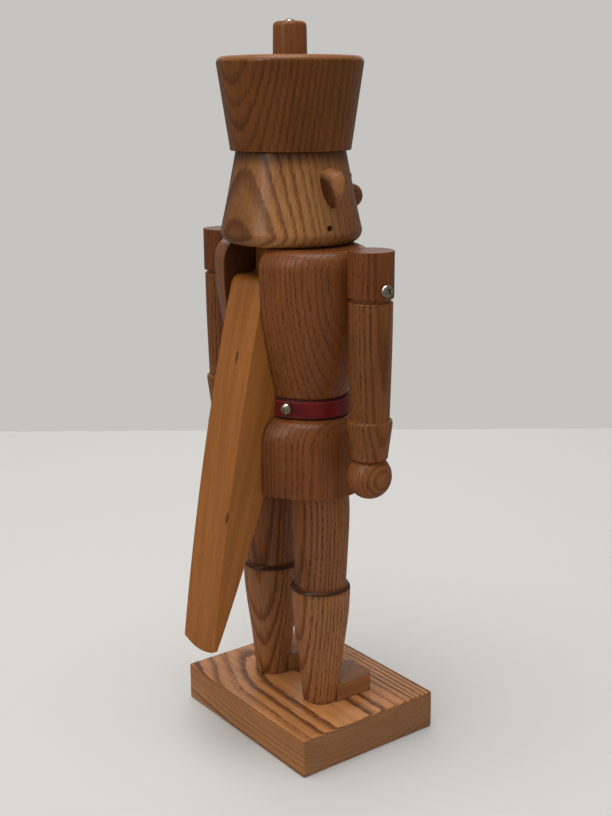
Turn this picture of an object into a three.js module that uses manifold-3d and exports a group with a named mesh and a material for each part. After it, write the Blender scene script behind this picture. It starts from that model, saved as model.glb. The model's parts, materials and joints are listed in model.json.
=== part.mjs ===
// A wooden nutcracker figure on a board, in millimetres, +Z up.
// The figure faces -Y and its own right side is -X. The origin is the middle of the board's underside.
import * as THREE from "three";
import { mergeVertices } from "three/addons/utils/BufferGeometryUtils.js";
import Module from "manifold-3d";

// Clearances
const SEAT = 0.3; // glue line between pieces that don't move
const RUN = 0.6; // each side of a piece that moves

// Board
const BASE_WIDTH = 100;
const BASE_DEPTH = 80;
const BASE_THICKNESS = 19;
const BASE_EASE = 0.9; // rounding along the board's edges

// Place of the figure on the board
const FIGURE_SETBACK = 8; // the trunk's axis behind the board's middle
const LEG_ADVANCE = 0.8; // the legs' axes ahead of the trunk's axis
const LEG_SPACING = 40.6; // between the legs' axes

// Legs, turned, with a boot top that stands proud
const LEG_LENGTH = 108.3;
const BOOT_HEIGHT = 58;
const RING_HEIGHT = 2.5; // sloping top of the boot
const ANKLE_RADIUS = 8.8;
const CALF_RADIUS = 10.5;
const CALF_HEIGHT = 19;
const SHIN_RADIUS = 13.6;
const SHIN_DROP = 14; // below the boot's edge
const BOOT_RADIUS = 14.4;
const KNEE_RADIUS = 12.3;
const THIGH_RADIUS = 13.9;
const THIGH_DROP = 15; // below the leg's upper end
const HIP_RADIUS = 13.4;

// Toe blocks
const FOOT_WIDTH = 19;
const FOOT_HEIGHT = 8.6;
const FOOT_REACH = 25.4; // from the leg's axis to the toe
const FOOT_CORNER = 3;

// Trunk, oval in plan, made as two halves beside a slot
const TRUNK_HEIGHT = 113.8;
const SLOT_WIDTH = 27.4;
const SKIRT_HEIGHT = 36.2;
const SKIRT_SHOULDER = 12; // height of the skirt's rounded top
const SKIRT_HALF_WIDTH = 39.2;
const SKIRT_HALF_DEPTH = 30;
const WAIST_HALF_WIDTH = 33.3;
const WAIST_HALF_DEPTH = 22.6;
const CHEST_HALF_WIDTH = 46.5;
const CHEST_HALF_DEPTH = 29.9;
const CHEST_ROUND_HEIGHT = 9;
const CHEST_ROUND_INSET = 6;

// Belt, a leather strip that ends beside the slot
const BELT_WIDTH = 9.7;
const BELT_THICKNESS = 1.5;
const BELT_END_MARGIN = 0.5; // from the slot's edge to the belt's end
const BELT_SCREW_INSET = 5.6; // from the belt's end to its screw, across the figure

// Head
const HEAD_HEIGHT = 41;
const HEAD_CROWN_RADIUS = 25.1;
const HEAD_JOWL_RADIUS = 32.5;
const HEAD_ROUND = 5.6;
const HEAD_FLARE_SAG = 0.2; // hollow of the head's sloping side

// Hat and knob
const HAT_HEIGHT = 40.8;
const HAT_BRIM_RADIUS = 27.5;
const HAT_TOP_RADIUS = 33;
const HAT_ROUND = 3;
const KNOB_HEIGHT = 14.5;
const KNOB_RADIUS = 7.7;
const KNOB_ROUND = 2;
const KNOB_SCREW_SINK = 1.2; // how far the screw's head is let into the knob

// Face
const NOSE_HEIGHT = 19; // above the head's underside
const NOSE_RADIUS = 5.8;
const NOSE_REACH = 40.6; // tip of the nose from the head's axis
const NOSE_DEPTH = 6; // length of the nose inside the head
const EYE_HEIGHT = 29;
const EYE_SPACING = 19;
const EYE_RADIUS = 2.2;
const EYE_DEPTH = 5;
const EYE_DOME = 1.2;
const EAR_HEIGHT = 18.6;
const EAR_TAPER = 3; // height of the bend above the ear's point
const EAR_WIDTH = 9.8;
const EAR_RISE = 15.8; // lowest point of the ear above the head's underside
const EAR_REACH = 36; // outer face of the ear from the head's axis
const EAR_ADVANCE = 0.8; // middle of the ear ahead of the head's axis

// Jaw lever, measured from its pivot
const PIVOT_RISE = 8.5; // above the head's underside
const PIVOT_SETBACK = 2.3; // behind the head's axis
const LEVER_SWING = 30; // degrees that the handle lifts
const BOSS_RADIUS = 6.2;
const JAW_REACH = 29;
const JAW_DEPTH = 14;
const JAW_RISE = 0.2; // top of the jaw above the pivot
const JAW_BEND_SETBACK = 20.5; // bend of the jaw's underside behind its front
const JAW_BEND_DROP = 1.4; // and below it
const JAW_CLEARANCE = 3; // between the lowered jaw and the block under it
const MOUTH_GAP = 4.8; // between the jaw and the upper lip
const THROAT_DROP = 48; // where the handle's front face begins
const THROAT_SETBACK = 2;
const FRONT_BOW = 7.6; // swell of the handle's front face
const SHOULDER_DROP = 22.8; // top of the handle's shoulder below the pivot
const SHOULDER_SETBACK = 23.6;
const SHOULDER_ROUND = 6;
const SHOULDER_LEAN = 1;
const NECK_SETBACK = 9;
const TAIL_DROP = 196.5;
const TAIL_SETBACK = 54.3;
const TAIL_THICKNESS = 1.4;
const TAIL_CROWN = 2.5; // rise of the rounded end at its corners
const BACK_BOW = 5; // swell of the handle's back face
const STOP_GAP = 0.4; // between the handle at rest and the block that stops it

// Lever pin
const PIN_RADIUS = 1.1;
const PIN_RECESS = 2.5; // from the head's side to the pin's end

// Arms, turned in one piece with the hand, measured from the shoulder screw
const ARM_TOP = 16.3;
const ARM_EASE = 0.4; // bevel of the arm's upper edge
const ARM_SCREW_DROP = 14.6; // below the trunk's top
const SLEEVE_RADIUS = 10.1;
const SLEEVE_DROP = 4.2; // lower end of the shoulder block
const GROOVE_WIDTH = 1.8;
const GROOVE_DEPTH = 1.5;
const UPPER_ARM_RADIUS = 9.7;
const ELBOW_RADIUS = 9.5;
const ELBOW_DROP = 28;
const FOREARM_RADIUS = 8.8;
const CUFF_DROP = 58.2;
const CUFF_RADIUS = 10.1;
const CUFF_LENGTH = 17.8;
const CUFF_LIP = 0.5; // bevel of the cuff's upper edge
const WRIST_RADIUS = 8.1;
const HAND_DROP = 84.1; // centre of the hand
const HAND_RADIUS = 10.1;
const HAND_HALF_HEIGHT = 10.3;
const HAND_CUT = 1.5; // depth of the cut between the cuff and the hand
const HAND_FLAT = 0.4; // cut off the hand's lowest point

// Round-head screws, countersunk screws and dowels
const SCREW_RADIUS = 1.5;
const SCREW_HEAD_RADIUS = 3;
const SCREW_HEAD_HEIGHT = 2.1;
const KNOB_SCREW_LENGTH = 30;
const ARM_SCREW_LENGTH = 36;
const BELT_SCREW_LENGTH = 14;
const LEG_SCREW_LENGTH = 40;
const LEG_SCREW_HEAD_RADIUS = 4;
const LEG_SCREW_HEAD_HEIGHT = 3;
const LEG_SCREW_RECESS = 0.5;
const DOWEL_RADIUS = 4;
const DOWEL_DEPTH = 12; // into each of the two pieces that it joins
const DOWEL_END_PLAY = 0.5;
const NECK_DOWEL_WALL = 1.5; // wood between the slot and the neck dowel
const NECK_DOWEL_ADVANCE = 10; // ahead of the head's axis, clear of the lever pin

// Fineness of the round pieces
const TURNED_SIDES = 28;
const TRUNK_SIDES = 44;
const PEG_SIDES = 12;
const ARC_STEPS = 4;
const EASE_STEPS = 2;
const PROFILE_STEPS = 6;
const OUTLINE_STEPS = 10;
const BELT_STEPS = 24;
const STOP_STEPS = 60; // points tried along the jaw's underside to find where the handle is stopped
const WELD = 1e-4; // corners closer than this are one

const UP = new THREE.Vector3(0, 0, 1);

// Levels of the stacked pieces
const legFoot = BASE_THICKNESS + SEAT;
const trunkFoot = legFoot + LEG_LENGTH + SEAT;
const trunkTop = trunkFoot + TRUNK_HEIGHT;
const headFoot = trunkTop + SEAT;
const headTop = headFoot + HEAD_HEIGHT;
const hatFoot = headTop + SEAT;
const knobFoot = hatFoot + HAT_HEIGHT + SEAT;
const FAR = 2 * (knobFoot + KNOB_HEIGHT); // reach of cutting blocks past what they cut
const legY = FIGURE_SETBACK - LEG_ADVANCE;
const pivot = { y: FIGURE_SETBACK + PIVOT_SETBACK, z: headFoot + PIVOT_RISE };

const wasm = await Module();
wasm.setup();

// Solids: a closed surface that can be joined and cut, and back again
function solid(geometry) {
  const bare = new THREE.BufferGeometry();
  bare.setAttribute("position", geometry.getAttribute("position").clone());
  bare.setIndex(geometry.index ? geometry.index.clone() : null);
  const merged = mergeVertices(bare, WELD);
  const corners = merged.index.array;
  const faces = [];
  for (let i = 0; i < corners.length; i += 3) {
    const [a, b, c] = corners.subarray(i, i + 3);
    if (a !== b && b !== c && c !== a) faces.push(a, b, c);
  }
  return new wasm.Manifold(
    new wasm.Mesh({
      numProp: 3,
      vertProperties: merged.getAttribute("position").array,
      triVerts: new Uint32Array(faces),
    }),
  );
}

function surface(body) {
  const { vertProperties, triVerts } = body.getMesh();
  const geometry = new THREE.BufferGeometry();
  geometry.setAttribute("position", new THREE.BufferAttribute(vertProperties, 3));
  geometry.setIndex(new THREE.BufferAttribute(triVerts, 1));
  geometry.computeVertexNormals();
  return geometry;
}

function cut(geometry, ...cutters) {
  const body = cutters.reduce((left, cutter) => left.subtract(solid(cutter)), solid(geometry));
  return surface(body);
}

function common(geometry, ...others) {
  const body = others.reduce((left, other) => left.intersect(solid(other)), solid(geometry));
  return surface(body);
}

// A box between two corners
function block(low, high) {
  const [x, y, z] = low.map((v, i) => high[i] - v);
  const middle = low.map((v, i) => (v + high[i]) / 2);
  return new THREE.BoxGeometry(x, y, z).translate(...middle);
}

// A turned piece about +Z from a profile of [radius, height] that runs from the lower end to the upper
function turned(profile, sides = TURNED_SIDES) {
  const points = profile.map(([r, z]) => new THREE.Vector2(r, z));
  return new THREE.LatheGeometry(points, sides).rotateX(Math.PI / 2);
}

function peg(radius, low, high, sides = PEG_SIDES) {
  return turned([[0, low], [radius, low], [radius, high], [0, high]], sides);
}

// Points [radius, height] of a quarter or part of an ellipse, angles in degrees from the outward direction
function arc(r, z, across, up, from, to, steps = ARC_STEPS) {
  return Array.from({ length: steps + 1 }, (_, i) => {
    const a = THREE.MathUtils.degToRad(from + ((to - from) * i) / steps);
    return [r + across * Math.cos(a), z + up * Math.sin(a)];
  });
}

// Points [radius, height] of a smooth curve through the given ones
function smooth(stations) {
  const curve = new THREE.SplineCurve(stations.map(([r, z]) => new THREE.Vector2(r, z)));
  return curve.getPoints(PROFILE_STEPS).map((p) => [p.x, p.y]);
}

// An outline drawn in the side view (y across, z up), as thick as width across the figure
function sideways(shape, width) {
  const geometry = new THREE.ExtrudeGeometry(shape, {
    depth: width,
    bevelEnabled: false,
    curveSegments: OUTLINE_STEPS,
  });
  const turn = new THREE.Matrix4().makeBasis(
    new THREE.Vector3(0, 1, 0),
    new THREE.Vector3(0, 0, 1),
    new THREE.Vector3(1, 0, 0),
  );
  return geometry.translate(0, 0, -width / 2).applyMatrix4(turn);
}

// A skin over rings of equal count, closed by flat ends
function loft(rings) {
  const sides = rings[0].length;
  const index = [];
  rings.slice(1).forEach((ring, i) => {
    ring.forEach((point, j) => {
      const a = i * sides + j;
      const b = i * sides + ((j + 1) % sides);
      index.push(a, b, b + sides, a, b + sides, a + sides);
    });
  });
  const last = (rings.length - 1) * sides;
  for (let j = 1; j + 1 < sides; j++) {
    index.push(0, j + 1, j);
    index.push(last, last + j, last + j + 1);
  }
  const geometry = new THREE.BufferGeometry();
  geometry.setAttribute("position", new THREE.Float32BufferAttribute(rings.flat(2), 3));
  geometry.setIndex(index);
  return geometry;
}

// Finishes
function finish(color, roughness, metalness = 0) {
  return new THREE.MeshStandardMaterial({ color, roughness, metalness });
}
const ash = () => finish("#8a5a34", 0.4);
const darkAsh = () => finish("#6b4423", 0.4);
const headAsh = () => finish("#96683a", 0.4);
const beech = () => finish("#9a6232", 0.45);
const pine = () => finish("#b98552", 0.4);
const leather = () => finish("#5a1512", 0.55);
const steel = () => finish("#c4bda8", 0.3, 1);
const dowelWood = () => finish("#c49a68", 0.6);
const eyeWood = () => finish("#2c1a10", 0.4);

const nutcracker = new THREE.Group();
function piece(name, geometry, material, position = [0, 0, 0]) {
  const mesh = new THREE.Mesh(geometry, material);
  mesh.name = name;
  mesh.position.set(...position);
  nutcracker.add(mesh);
  return mesh;
}

// The two sides of the figure: its own right is -X
const SIDES = [
  { side: "right", sign: -1 },
  { side: "left", sign: 1 },
];

// Fasteners, drawn with the underside of the head at height 0 and the point below
const roundScrew = (length) => turned(
  [[0, -length], [SCREW_RADIUS, -length + SCREW_RADIUS], [SCREW_RADIUS, 0],
    ...arc(0, 0, SCREW_HEAD_RADIUS, SCREW_HEAD_HEIGHT, 0, 90)],
  PEG_SIDES,
);
const screwHole = (length, play) => peg(SCREW_RADIUS + play, -length - SEAT, FAR);
const countersunk = (play, tip) => turned(
  [[0, tip], [LEG_SCREW_HEAD_RADIUS + play, tip], [LEG_SCREW_HEAD_RADIUS + play, LEG_SCREW_RECESS],
    [SCREW_RADIUS + play, LEG_SCREW_RECESS + LEG_SCREW_HEAD_HEIGHT],
    [SCREW_RADIUS + play, LEG_SCREW_LENGTH - SCREW_RADIUS + play], [0, LEG_SCREW_LENGTH + play]],
  PEG_SIDES,
);
const dowelRoom = DOWEL_DEPTH + DOWEL_END_PLAY;
const dowelHole = (z) => peg(DOWEL_RADIUS + SEAT, z - dowelRoom, z + dowelRoom);
const dowel = (z) => peg(DOWEL_RADIUS, z - DOWEL_DEPTH, z + DOWEL_DEPTH);

// Board
const legX = LEG_SPACING / 2;
const boardOutline = new THREE.Shape([
  new THREE.Vector2(-BASE_WIDTH / 2, -BASE_DEPTH / 2),
  new THREE.Vector2(BASE_WIDTH / 2, -BASE_DEPTH / 2),
  new THREE.Vector2(BASE_WIDTH / 2, BASE_DEPTH / 2),
  new THREE.Vector2(-BASE_WIDTH / 2, BASE_DEPTH / 2),
]);
const board = new THREE.ExtrudeGeometry(boardOutline, {
  depth: BASE_THICKNESS - 2 * BASE_EASE,
  bevelSize: BASE_EASE,
  bevelThickness: BASE_EASE,
  bevelOffset: -BASE_EASE,
  bevelSegments: EASE_STEPS,
}).translate(0, 0, BASE_EASE);
const legScrewHoles = SIDES.map(({ sign }) => countersunk(SEAT, -SEAT).translate(sign * legX, legY, 0));
piece("base_plate", cut(board, ...legScrewHoles), pine());

// Legs and toe blocks, drawn with the leg's axis at the origin and its lower end at height 0
const bootTop = BOOT_HEIGHT + RING_HEIGHT;
const legProfile = (play) => [
  [0, -play],
  [ANKLE_RADIUS + play, -play],
  ...smooth([
    [ANKLE_RADIUS + play, 0],
    [CALF_RADIUS + play, CALF_HEIGHT],
    [SHIN_RADIUS + play, BOOT_HEIGHT - SHIN_DROP],
    [BOOT_RADIUS + play, BOOT_HEIGHT],
  ]),
  ...smooth([
    [KNEE_RADIUS + play, bootTop],
    [THIGH_RADIUS + play, LEG_LENGTH - THIGH_DROP],
    [HIP_RADIUS + play, LEG_LENGTH],
  ]),
  [0, LEG_LENGTH],
];
const footOutline = new THREE.Shape();
const footBack = -ANKLE_RADIUS / 3; // the block is hollowed to fit the ankle
const footSide = FOOT_WIDTH / 2;
const cornerX = footSide - FOOT_CORNER;
const cornerY = FOOT_CORNER - FOOT_REACH;
footOutline.moveTo(-footSide, footBack);
footOutline.lineTo(-footSide, cornerY);
footOutline.absarc(-cornerX, cornerY, FOOT_CORNER, Math.PI, 1.5 * Math.PI);
footOutline.absarc(cornerX, cornerY, FOOT_CORNER, 1.5 * Math.PI, 2 * Math.PI);
footOutline.lineTo(footSide, footBack);
const toeBlock = new THREE.ExtrudeGeometry(footOutline, {
  depth: FOOT_HEIGHT,
  bevelEnabled: false,
  curveSegments: ARC_STEPS,
});
const hipDowelHole = dowelHole(LEG_LENGTH + SEAT / 2);
const legScrewPilot = countersunk(SEAT, 0).translate(0, 0, -legFoot);
SIDES.forEach(({ side, sign }) => {
  const place = [sign * legX, legY, legFoot];
  piece(`${side}_leg`, cut(turned(legProfile(0)), hipDowelHole, legScrewPilot), ash(), place);
  piece(`${side}_foot`, cut(toeBlock, turned(legProfile(SEAT))), darkAsh(), place);
  piece(`${side}_hip_dowel`, dowel(LEG_LENGTH + SEAT / 2), dowelWood(), place);
  piece(`${side}_leg_screw`, countersunk(0, LEG_SCREW_RECESS), steel(), [sign * legX, legY, 0]);
});

// Trunk: ovals [height above its foot, half-width, half-depth] from the skirt's hem to the chest's top
const beltTop = SKIRT_HEIGHT + BELT_WIDTH;
const grooveDepth = BELT_THICKNESS + SEAT;
const chestLine = TRUNK_HEIGHT - CHEST_ROUND_HEIGHT;
const chestRound = arc(0, chestLine, CHEST_ROUND_INSET, CHEST_ROUND_HEIGHT, 0, 90).slice(1);
const chestTopHalfWidth = CHEST_HALF_WIDTH - CHEST_ROUND_INSET;
const chestTopHalfDepth = CHEST_HALF_DEPTH - CHEST_ROUND_INSET;
const between = (a, b, share) => a + (b - a) * share;
const trunkOvals = [
  [0, SKIRT_HALF_WIDTH, SKIRT_HALF_DEPTH],
  ...arc(0, SKIRT_HEIGHT - SKIRT_SHOULDER, 1, SKIRT_SHOULDER, 0, 90).map(([share, z]) => [
    z,
    between(WAIST_HALF_WIDTH, SKIRT_HALF_WIDTH, share),
    between(WAIST_HALF_DEPTH, SKIRT_HALF_DEPTH, share),
  ]),
  [SKIRT_HEIGHT, WAIST_HALF_WIDTH - grooveDepth, WAIST_HALF_DEPTH - grooveDepth],
  [beltTop, WAIST_HALF_WIDTH - grooveDepth, WAIST_HALF_DEPTH - grooveDepth],
  ...Array.from({ length: PROFILE_STEPS + 1 }, (_, i) => i / PROFILE_STEPS).map((share) => [
    between(beltTop, chestLine, share),
    between(WAIST_HALF_WIDTH, CHEST_HALF_WIDTH, Math.sin((share * Math.PI) / 2)),
    between(WAIST_HALF_DEPTH, CHEST_HALF_DEPTH, Math.sin((share * Math.PI) / 2)),
  ]),
  ...chestRound.map(([out, z]) => [z, chestTopHalfWidth + out, chestTopHalfDepth + out]),
];
const ovalRing = ([z, halfWidth, halfDepth]) => Array.from({ length: TRUNK_SIDES }, (_, i) => {
  const a = ((i + 0.5) * 2 * Math.PI) / TRUNK_SIDES;
  return [halfWidth * Math.cos(a), FIGURE_SETBACK + halfDepth * Math.sin(a), trunkFoot + z];
});
const trunk = loft(trunkOvals.map(ovalRing));

// Neck dowels stand beside the slot
const slotSide = SLOT_WIDTH / 2;
const neckDowelX = slotSide + NECK_DOWEL_WALL + DOWEL_RADIUS;
const neckDowelY = FIGURE_SETBACK - NECK_DOWEL_ADVANCE;
const neckLevel = trunkTop + SEAT / 2;

// Arms hang beside the chest, clear of it
const armX = CHEST_HALF_WIDTH + RUN + Math.max(SLEEVE_RADIUS, CUFF_RADIUS, HAND_RADIUS);
const shoulder = trunkTop - ARM_SCREW_DROP;
const armScrewSeat = SLEEVE_RADIUS + SEAT; // underside of the screw's head from the arm's axis

// A fastener or its hole, moved so that its head's underside is at a point and looks along a direction
function aimed(geometry, point, direction) {
  const turn = new THREE.Quaternion().setFromUnitVectors(UP, direction);
  return geometry.applyQuaternion(turn).translate(point.x, point.y, point.z);
}

// Belt screws: on the belt's outer oval, square to it
const beltEndX = slotSide + BELT_END_MARGIN;
const beltMiddle = trunkFoot + SKIRT_HEIGHT + BELT_WIDTH / 2;
function beltScrewPlace(sign) {
  const x = beltEndX + BELT_SCREW_INSET;
  const y = WAIST_HALF_DEPTH * Math.sqrt(1 - (x / WAIST_HALF_WIDTH) ** 2);
  const slope = [(sign * x) / WAIST_HALF_WIDTH ** 2, y / WAIST_HALF_DEPTH ** 2];
  const direction = new THREE.Vector3(...slope, 0).normalize();
  const point = new THREE.Vector3(sign * x, FIGURE_SETBACK + y, beltMiddle).addScaledVector(direction, SEAT);
  return { point, direction };
}

// Trunk halves, with holes for the dowels and screws
SIDES.forEach(({ side, sign }) => {
  const inner = sign * slotSide;
  const outer = sign * FAR;
  const half = common(trunk, block([Math.min(inner, outer), -FAR, 0], [Math.max(inner, outer), FAR, FAR]));
  const outward = new THREE.Vector3(sign, 0, 0);
  const armScrewAt = new THREE.Vector3(sign * (armX + armScrewSeat), FIGURE_SETBACK, shoulder);
  const belted = beltScrewPlace(sign);
  piece(`${side}_torso_half`, cut(
    half,
    dowelHole(trunkFoot - SEAT / 2).translate(sign * legX, legY, 0),
    dowelHole(neckLevel).translate(sign * neckDowelX, neckDowelY, 0),
    aimed(screwHole(ARM_SCREW_LENGTH, SEAT), armScrewAt, outward),
    aimed(screwHole(BELT_SCREW_LENGTH, SEAT), belted.point, belted.direction),
  ), ash());
  piece(`${side}_neck_dowel`, dowel(neckLevel), dowelWood(), [sign * neckDowelX, neckDowelY, 0]);
  const beltScrew = piece(`${side}_belt_screw`, roundScrew(BELT_SCREW_LENGTH), steel());
  beltScrew.position.copy(belted.point);
  beltScrew.quaternion.setFromUnitVectors(UP, belted.direction);
});

// Belt: an oval strip in front, open across the slot at the back
const beltOuter = [WAIST_HALF_WIDTH, WAIST_HALF_DEPTH];
const beltInner = beltOuter.map((r) => r - BELT_THICKNESS);
const beltEnd = (halfWidth) => Math.acos(beltEndX / halfWidth);
const beltOutline = new THREE.Shape();
beltOutline.absellipse(0, FIGURE_SETBACK, ...beltOuter, Math.PI - beltEnd(beltOuter[0]),
  2 * Math.PI + beltEnd(beltOuter[0]), false);
beltOutline.absellipse(0, FIGURE_SETBACK, ...beltInner, 2 * Math.PI + beltEnd(beltInner[0]),
  Math.PI - beltEnd(beltInner[0]), true);
const strap = new THREE.ExtrudeGeometry(beltOutline, {
  depth: BELT_WIDTH - 2 * SEAT,
  bevelEnabled: false,
  curveSegments: BELT_STEPS,
}).translate(0, 0, trunkFoot + SKIRT_HEIGHT + SEAT);
const beltHoles = SIDES.map(({ sign }) => {
  const { point, direction } = beltScrewPlace(sign);
  return aimed(screwHole(BELT_SCREW_LENGTH, SEAT), point, direction);
});
piece("belt", cut(strap, ...beltHoles), leather());

// Head, with its slot for the lever, and holes for what is set into it
const headProfile = (play) => [
  [0, -play],
  ...arc(HEAD_JOWL_RADIUS - HEAD_ROUND, HEAD_ROUND, HEAD_ROUND + play, HEAD_ROUND + play, -90, 0),
  ...smooth([
    [HEAD_JOWL_RADIUS + play, HEAD_ROUND],
    [(HEAD_JOWL_RADIUS + HEAD_CROWN_RADIUS) / 2 - HEAD_FLARE_SAG + play, (HEAD_ROUND + HEAD_HEIGHT) / 2],
    [HEAD_CROWN_RADIUS + play, HEAD_HEIGHT],
  ]).slice(1),
  [0, HEAD_HEIGHT],
];
const headBlank = turned(headProfile(0), TRUNK_SIDES).translate(0, FIGURE_SETBACK, headFoot);
const headBlankWithPlay = turned(headProfile(SEAT), TRUNK_SIDES).translate(0, FIGURE_SETBACK, headFoot);
const mouthTop = pivot.z + JAW_RISE + MOUTH_GAP;
const bossRoom = BOSS_RADIUS + RUN;
const swing = THREE.MathUtils.degToRad(LEVER_SWING);
// The lifted lever's neck, where it passes the head's underside
const neckReach = (NECK_SETBACK + PIVOT_RISE * Math.sin(swing)) / Math.cos(swing);
const slotBack = pivot.y + neckReach + 2 * RUN;
const mouthSlot = block([-slotSide, -FAR, 0], [slotSide, slotBack, mouthTop]);
const bossPocket = block([-slotSide, pivot.y - bossRoom, 0], [slotSide, slotBack, pivot.z + bossRoom]);
const pinHole = peg(PIN_RADIUS + SEAT, -FAR, FAR).rotateY(Math.PI / 2).translate(0, pivot.y, pivot.z);
const faceward = new THREE.Vector3(0, -1, 0);
const headRadiusAt = (height) => {
  const share = (height - HEAD_ROUND) / (HEAD_HEIGHT - HEAD_ROUND);
  const sag = HEAD_FLARE_SAG * 4 * share * (1 - share);
  return between(HEAD_JOWL_RADIUS, HEAD_CROWN_RADIUS, share) - sag;
};
const noseSeat = headRadiusAt(NOSE_HEIGHT) - NOSE_DEPTH;
const noseAt = new THREE.Vector3(0, FIGURE_SETBACK - noseSeat, headFoot + NOSE_HEIGHT);
const noseLength = NOSE_REACH - noseSeat;
const eyeX = EYE_SPACING / 2;
const eyeSeat = Math.sqrt(headRadiusAt(EYE_HEIGHT) ** 2 - eyeX ** 2) - EYE_DEPTH;
const eyeAt = (sign) => new THREE.Vector3(sign * eyeX, FIGURE_SETBACK - eyeSeat, headFoot + EYE_HEIGHT);
const hatLevel = headTop + SEAT / 2;
piece("head", cut(
  headBlank,
  mouthSlot,
  bossPocket,
  pinHole,
  dowelHole(hatLevel).translate(0, FIGURE_SETBACK, 0),
  ...SIDES.map(({ sign }) => dowelHole(neckLevel).translate(sign * neckDowelX, neckDowelY, 0)),
  aimed(peg(NOSE_RADIUS + SEAT, -SEAT, FAR, PEG_SIDES * 2), noseAt, faceward),
  ...SIDES.map(({ sign }) => aimed(peg(EYE_RADIUS + SEAT, -SEAT, FAR), eyeAt(sign), faceward)),
), headAsh());

// Nose and eyes: pegs with round ends
const nose = turned([
  [0, 0],
  [NOSE_RADIUS, 0],
  ...arc(0, noseLength - NOSE_RADIUS, NOSE_RADIUS, NOSE_RADIUS, 0, 90),
], PEG_SIDES * 2);
piece("nose", aimed(nose, noseAt, faceward), headAsh());
SIDES.forEach(({ side, sign }) => {
  const eye = turned([[0, 0], [EYE_RADIUS, 0], ...arc(0, EYE_DEPTH, EYE_RADIUS, EYE_DOME, 0, 90)], PEG_SIDES);
  piece(`${side}_eye`, aimed(eye, eyeAt(sign), faceward), eyeWood());
});

// Ears: drops, round above and pointed below, cut to the head's side
const earRadius = EAR_WIDTH / 2;
const earOutline = new THREE.Shape();
earOutline.moveTo(0, 0);
earOutline.quadraticCurveTo(earRadius, EAR_TAPER, earRadius, EAR_HEIGHT - earRadius);
earOutline.absarc(0, EAR_HEIGHT - earRadius, earRadius, 0, Math.PI);
earOutline.quadraticCurveTo(-earRadius, EAR_TAPER, 0, 0);
SIDES.forEach(({ side, sign }) => {
  const depth = EAR_REACH - HEAD_CROWN_RADIUS + earRadius;
  const ear = sideways(earOutline, depth).translate(
    sign * (EAR_REACH - depth / 2),
    FIGURE_SETBACK - EAR_ADVANCE,
    headFoot + EAR_RISE,
  );
  piece(`${side}_ear`, cut(ear, headBlankWithPlay), headAsh());
});

// Jaw lever: jaw in front, boss round the pin, and a handle that swells, bends back and thins to its tail
const leverWidth = SLOT_WIDTH - 2 * RUN;
const midway = (a, b, out) => {
  const along = new THREE.Vector2().subVectors(b, a).normalize();
  const aside = new THREE.Vector2(along.y, -along.x);
  return new THREE.Vector2().addVectors(a, b).multiplyScalar(0.5).addScaledVector(aside, out);
};
const jawFront = new THREE.Vector2(-JAW_REACH, JAW_RISE - JAW_DEPTH);
const jawBend = new THREE.Vector2(JAW_BEND_SETBACK, -JAW_BEND_DROP).add(jawFront);
const throat = new THREE.Vector2(THROAT_SETBACK, -THROAT_DROP);
const tailFront = new THREE.Vector2(TAIL_SETBACK - TAIL_THICKNESS, -TAIL_DROP);
const tailBack = new THREE.Vector2(TAIL_SETBACK, -TAIL_DROP);
const shoulderBack = new THREE.Vector2(SHOULDER_SETBACK, -SHOULDER_DROP - SHOULDER_ROUND);
const frontBend = midway(tailFront, throat, -FRONT_BOW);
const backBend = midway(tailBack, shoulderBack, BACK_BOW);
const leverOutline = new THREE.Shape();
leverOutline.moveTo(jawFront.x, jawFront.y);
leverOutline.quadraticCurveTo(jawBend.x, jawBend.y, throat.x, throat.y);
leverOutline.quadraticCurveTo(frontBend.x, frontBend.y, tailFront.x, tailFront.y);
leverOutline.lineTo(tailBack.x, tailBack.y);
leverOutline.quadraticCurveTo(backBend.x, backBend.y, shoulderBack.x, shoulderBack.y);
leverOutline.quadraticCurveTo(SHOULDER_SETBACK - SHOULDER_LEAN, -SHOULDER_DROP,
  SHOULDER_SETBACK - SHOULDER_ROUND, -SHOULDER_DROP);
leverOutline.lineTo(NECK_SETBACK + SHOULDER_ROUND / 2, -SHOULDER_DROP);
leverOutline.quadraticCurveTo(NECK_SETBACK, -SHOULDER_DROP,
  NECK_SETBACK, SHOULDER_ROUND / 2 - SHOULDER_DROP);
leverOutline.lineTo(NECK_SETBACK, -BOSS_RADIUS);
leverOutline.absarc(0, 0, BOSS_RADIUS, 0, Math.PI - Math.asin(JAW_RISE / BOSS_RADIUS));
leverOutline.lineTo(-JAW_REACH, JAW_RISE);
const leverBlank = sideways(leverOutline, leverWidth).translate(0, pivot.y, pivot.z);
const tailCrownRadius = ((leverWidth / 2) ** 2 + TAIL_CROWN ** 2) / (2 * TAIL_CROWN);
const tailTrimHalf = leverWidth / 2 + RUN;
const tailAngle = Math.asin(tailTrimHalf / tailCrownRadius);
const tailFoot = pivot.z - TAIL_DROP;
const tailOutline = new THREE.Shape();
tailOutline.moveTo(tailTrimHalf, headTop);
tailOutline.lineTo(-tailTrimHalf, headTop);
tailOutline.absarc(0, tailFoot + tailCrownRadius, tailCrownRadius, 1.5 * Math.PI - tailAngle,
  1.5 * Math.PI + tailAngle);
const tailTrim = new THREE.ExtrudeGeometry(tailOutline, {
  depth: FAR,
  bevelEnabled: false,
  curveSegments: OUTLINE_STEPS,
}).rotateX(Math.PI / 2).translate(0, FAR / 2, 0);
piece("jaw_lever", cut(common(leverBlank, tailTrim), pinHole), beech());
const pinReach = Math.sqrt(headRadiusAt(PIVOT_RISE) ** 2 - PIVOT_SETBACK ** 2) - PIN_RECESS;
piece("lever_pin", peg(PIN_RADIUS, -pinReach, pinReach).rotateY(Math.PI / 2), steel(), [0, pivot.y, pivot.z]);

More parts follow.
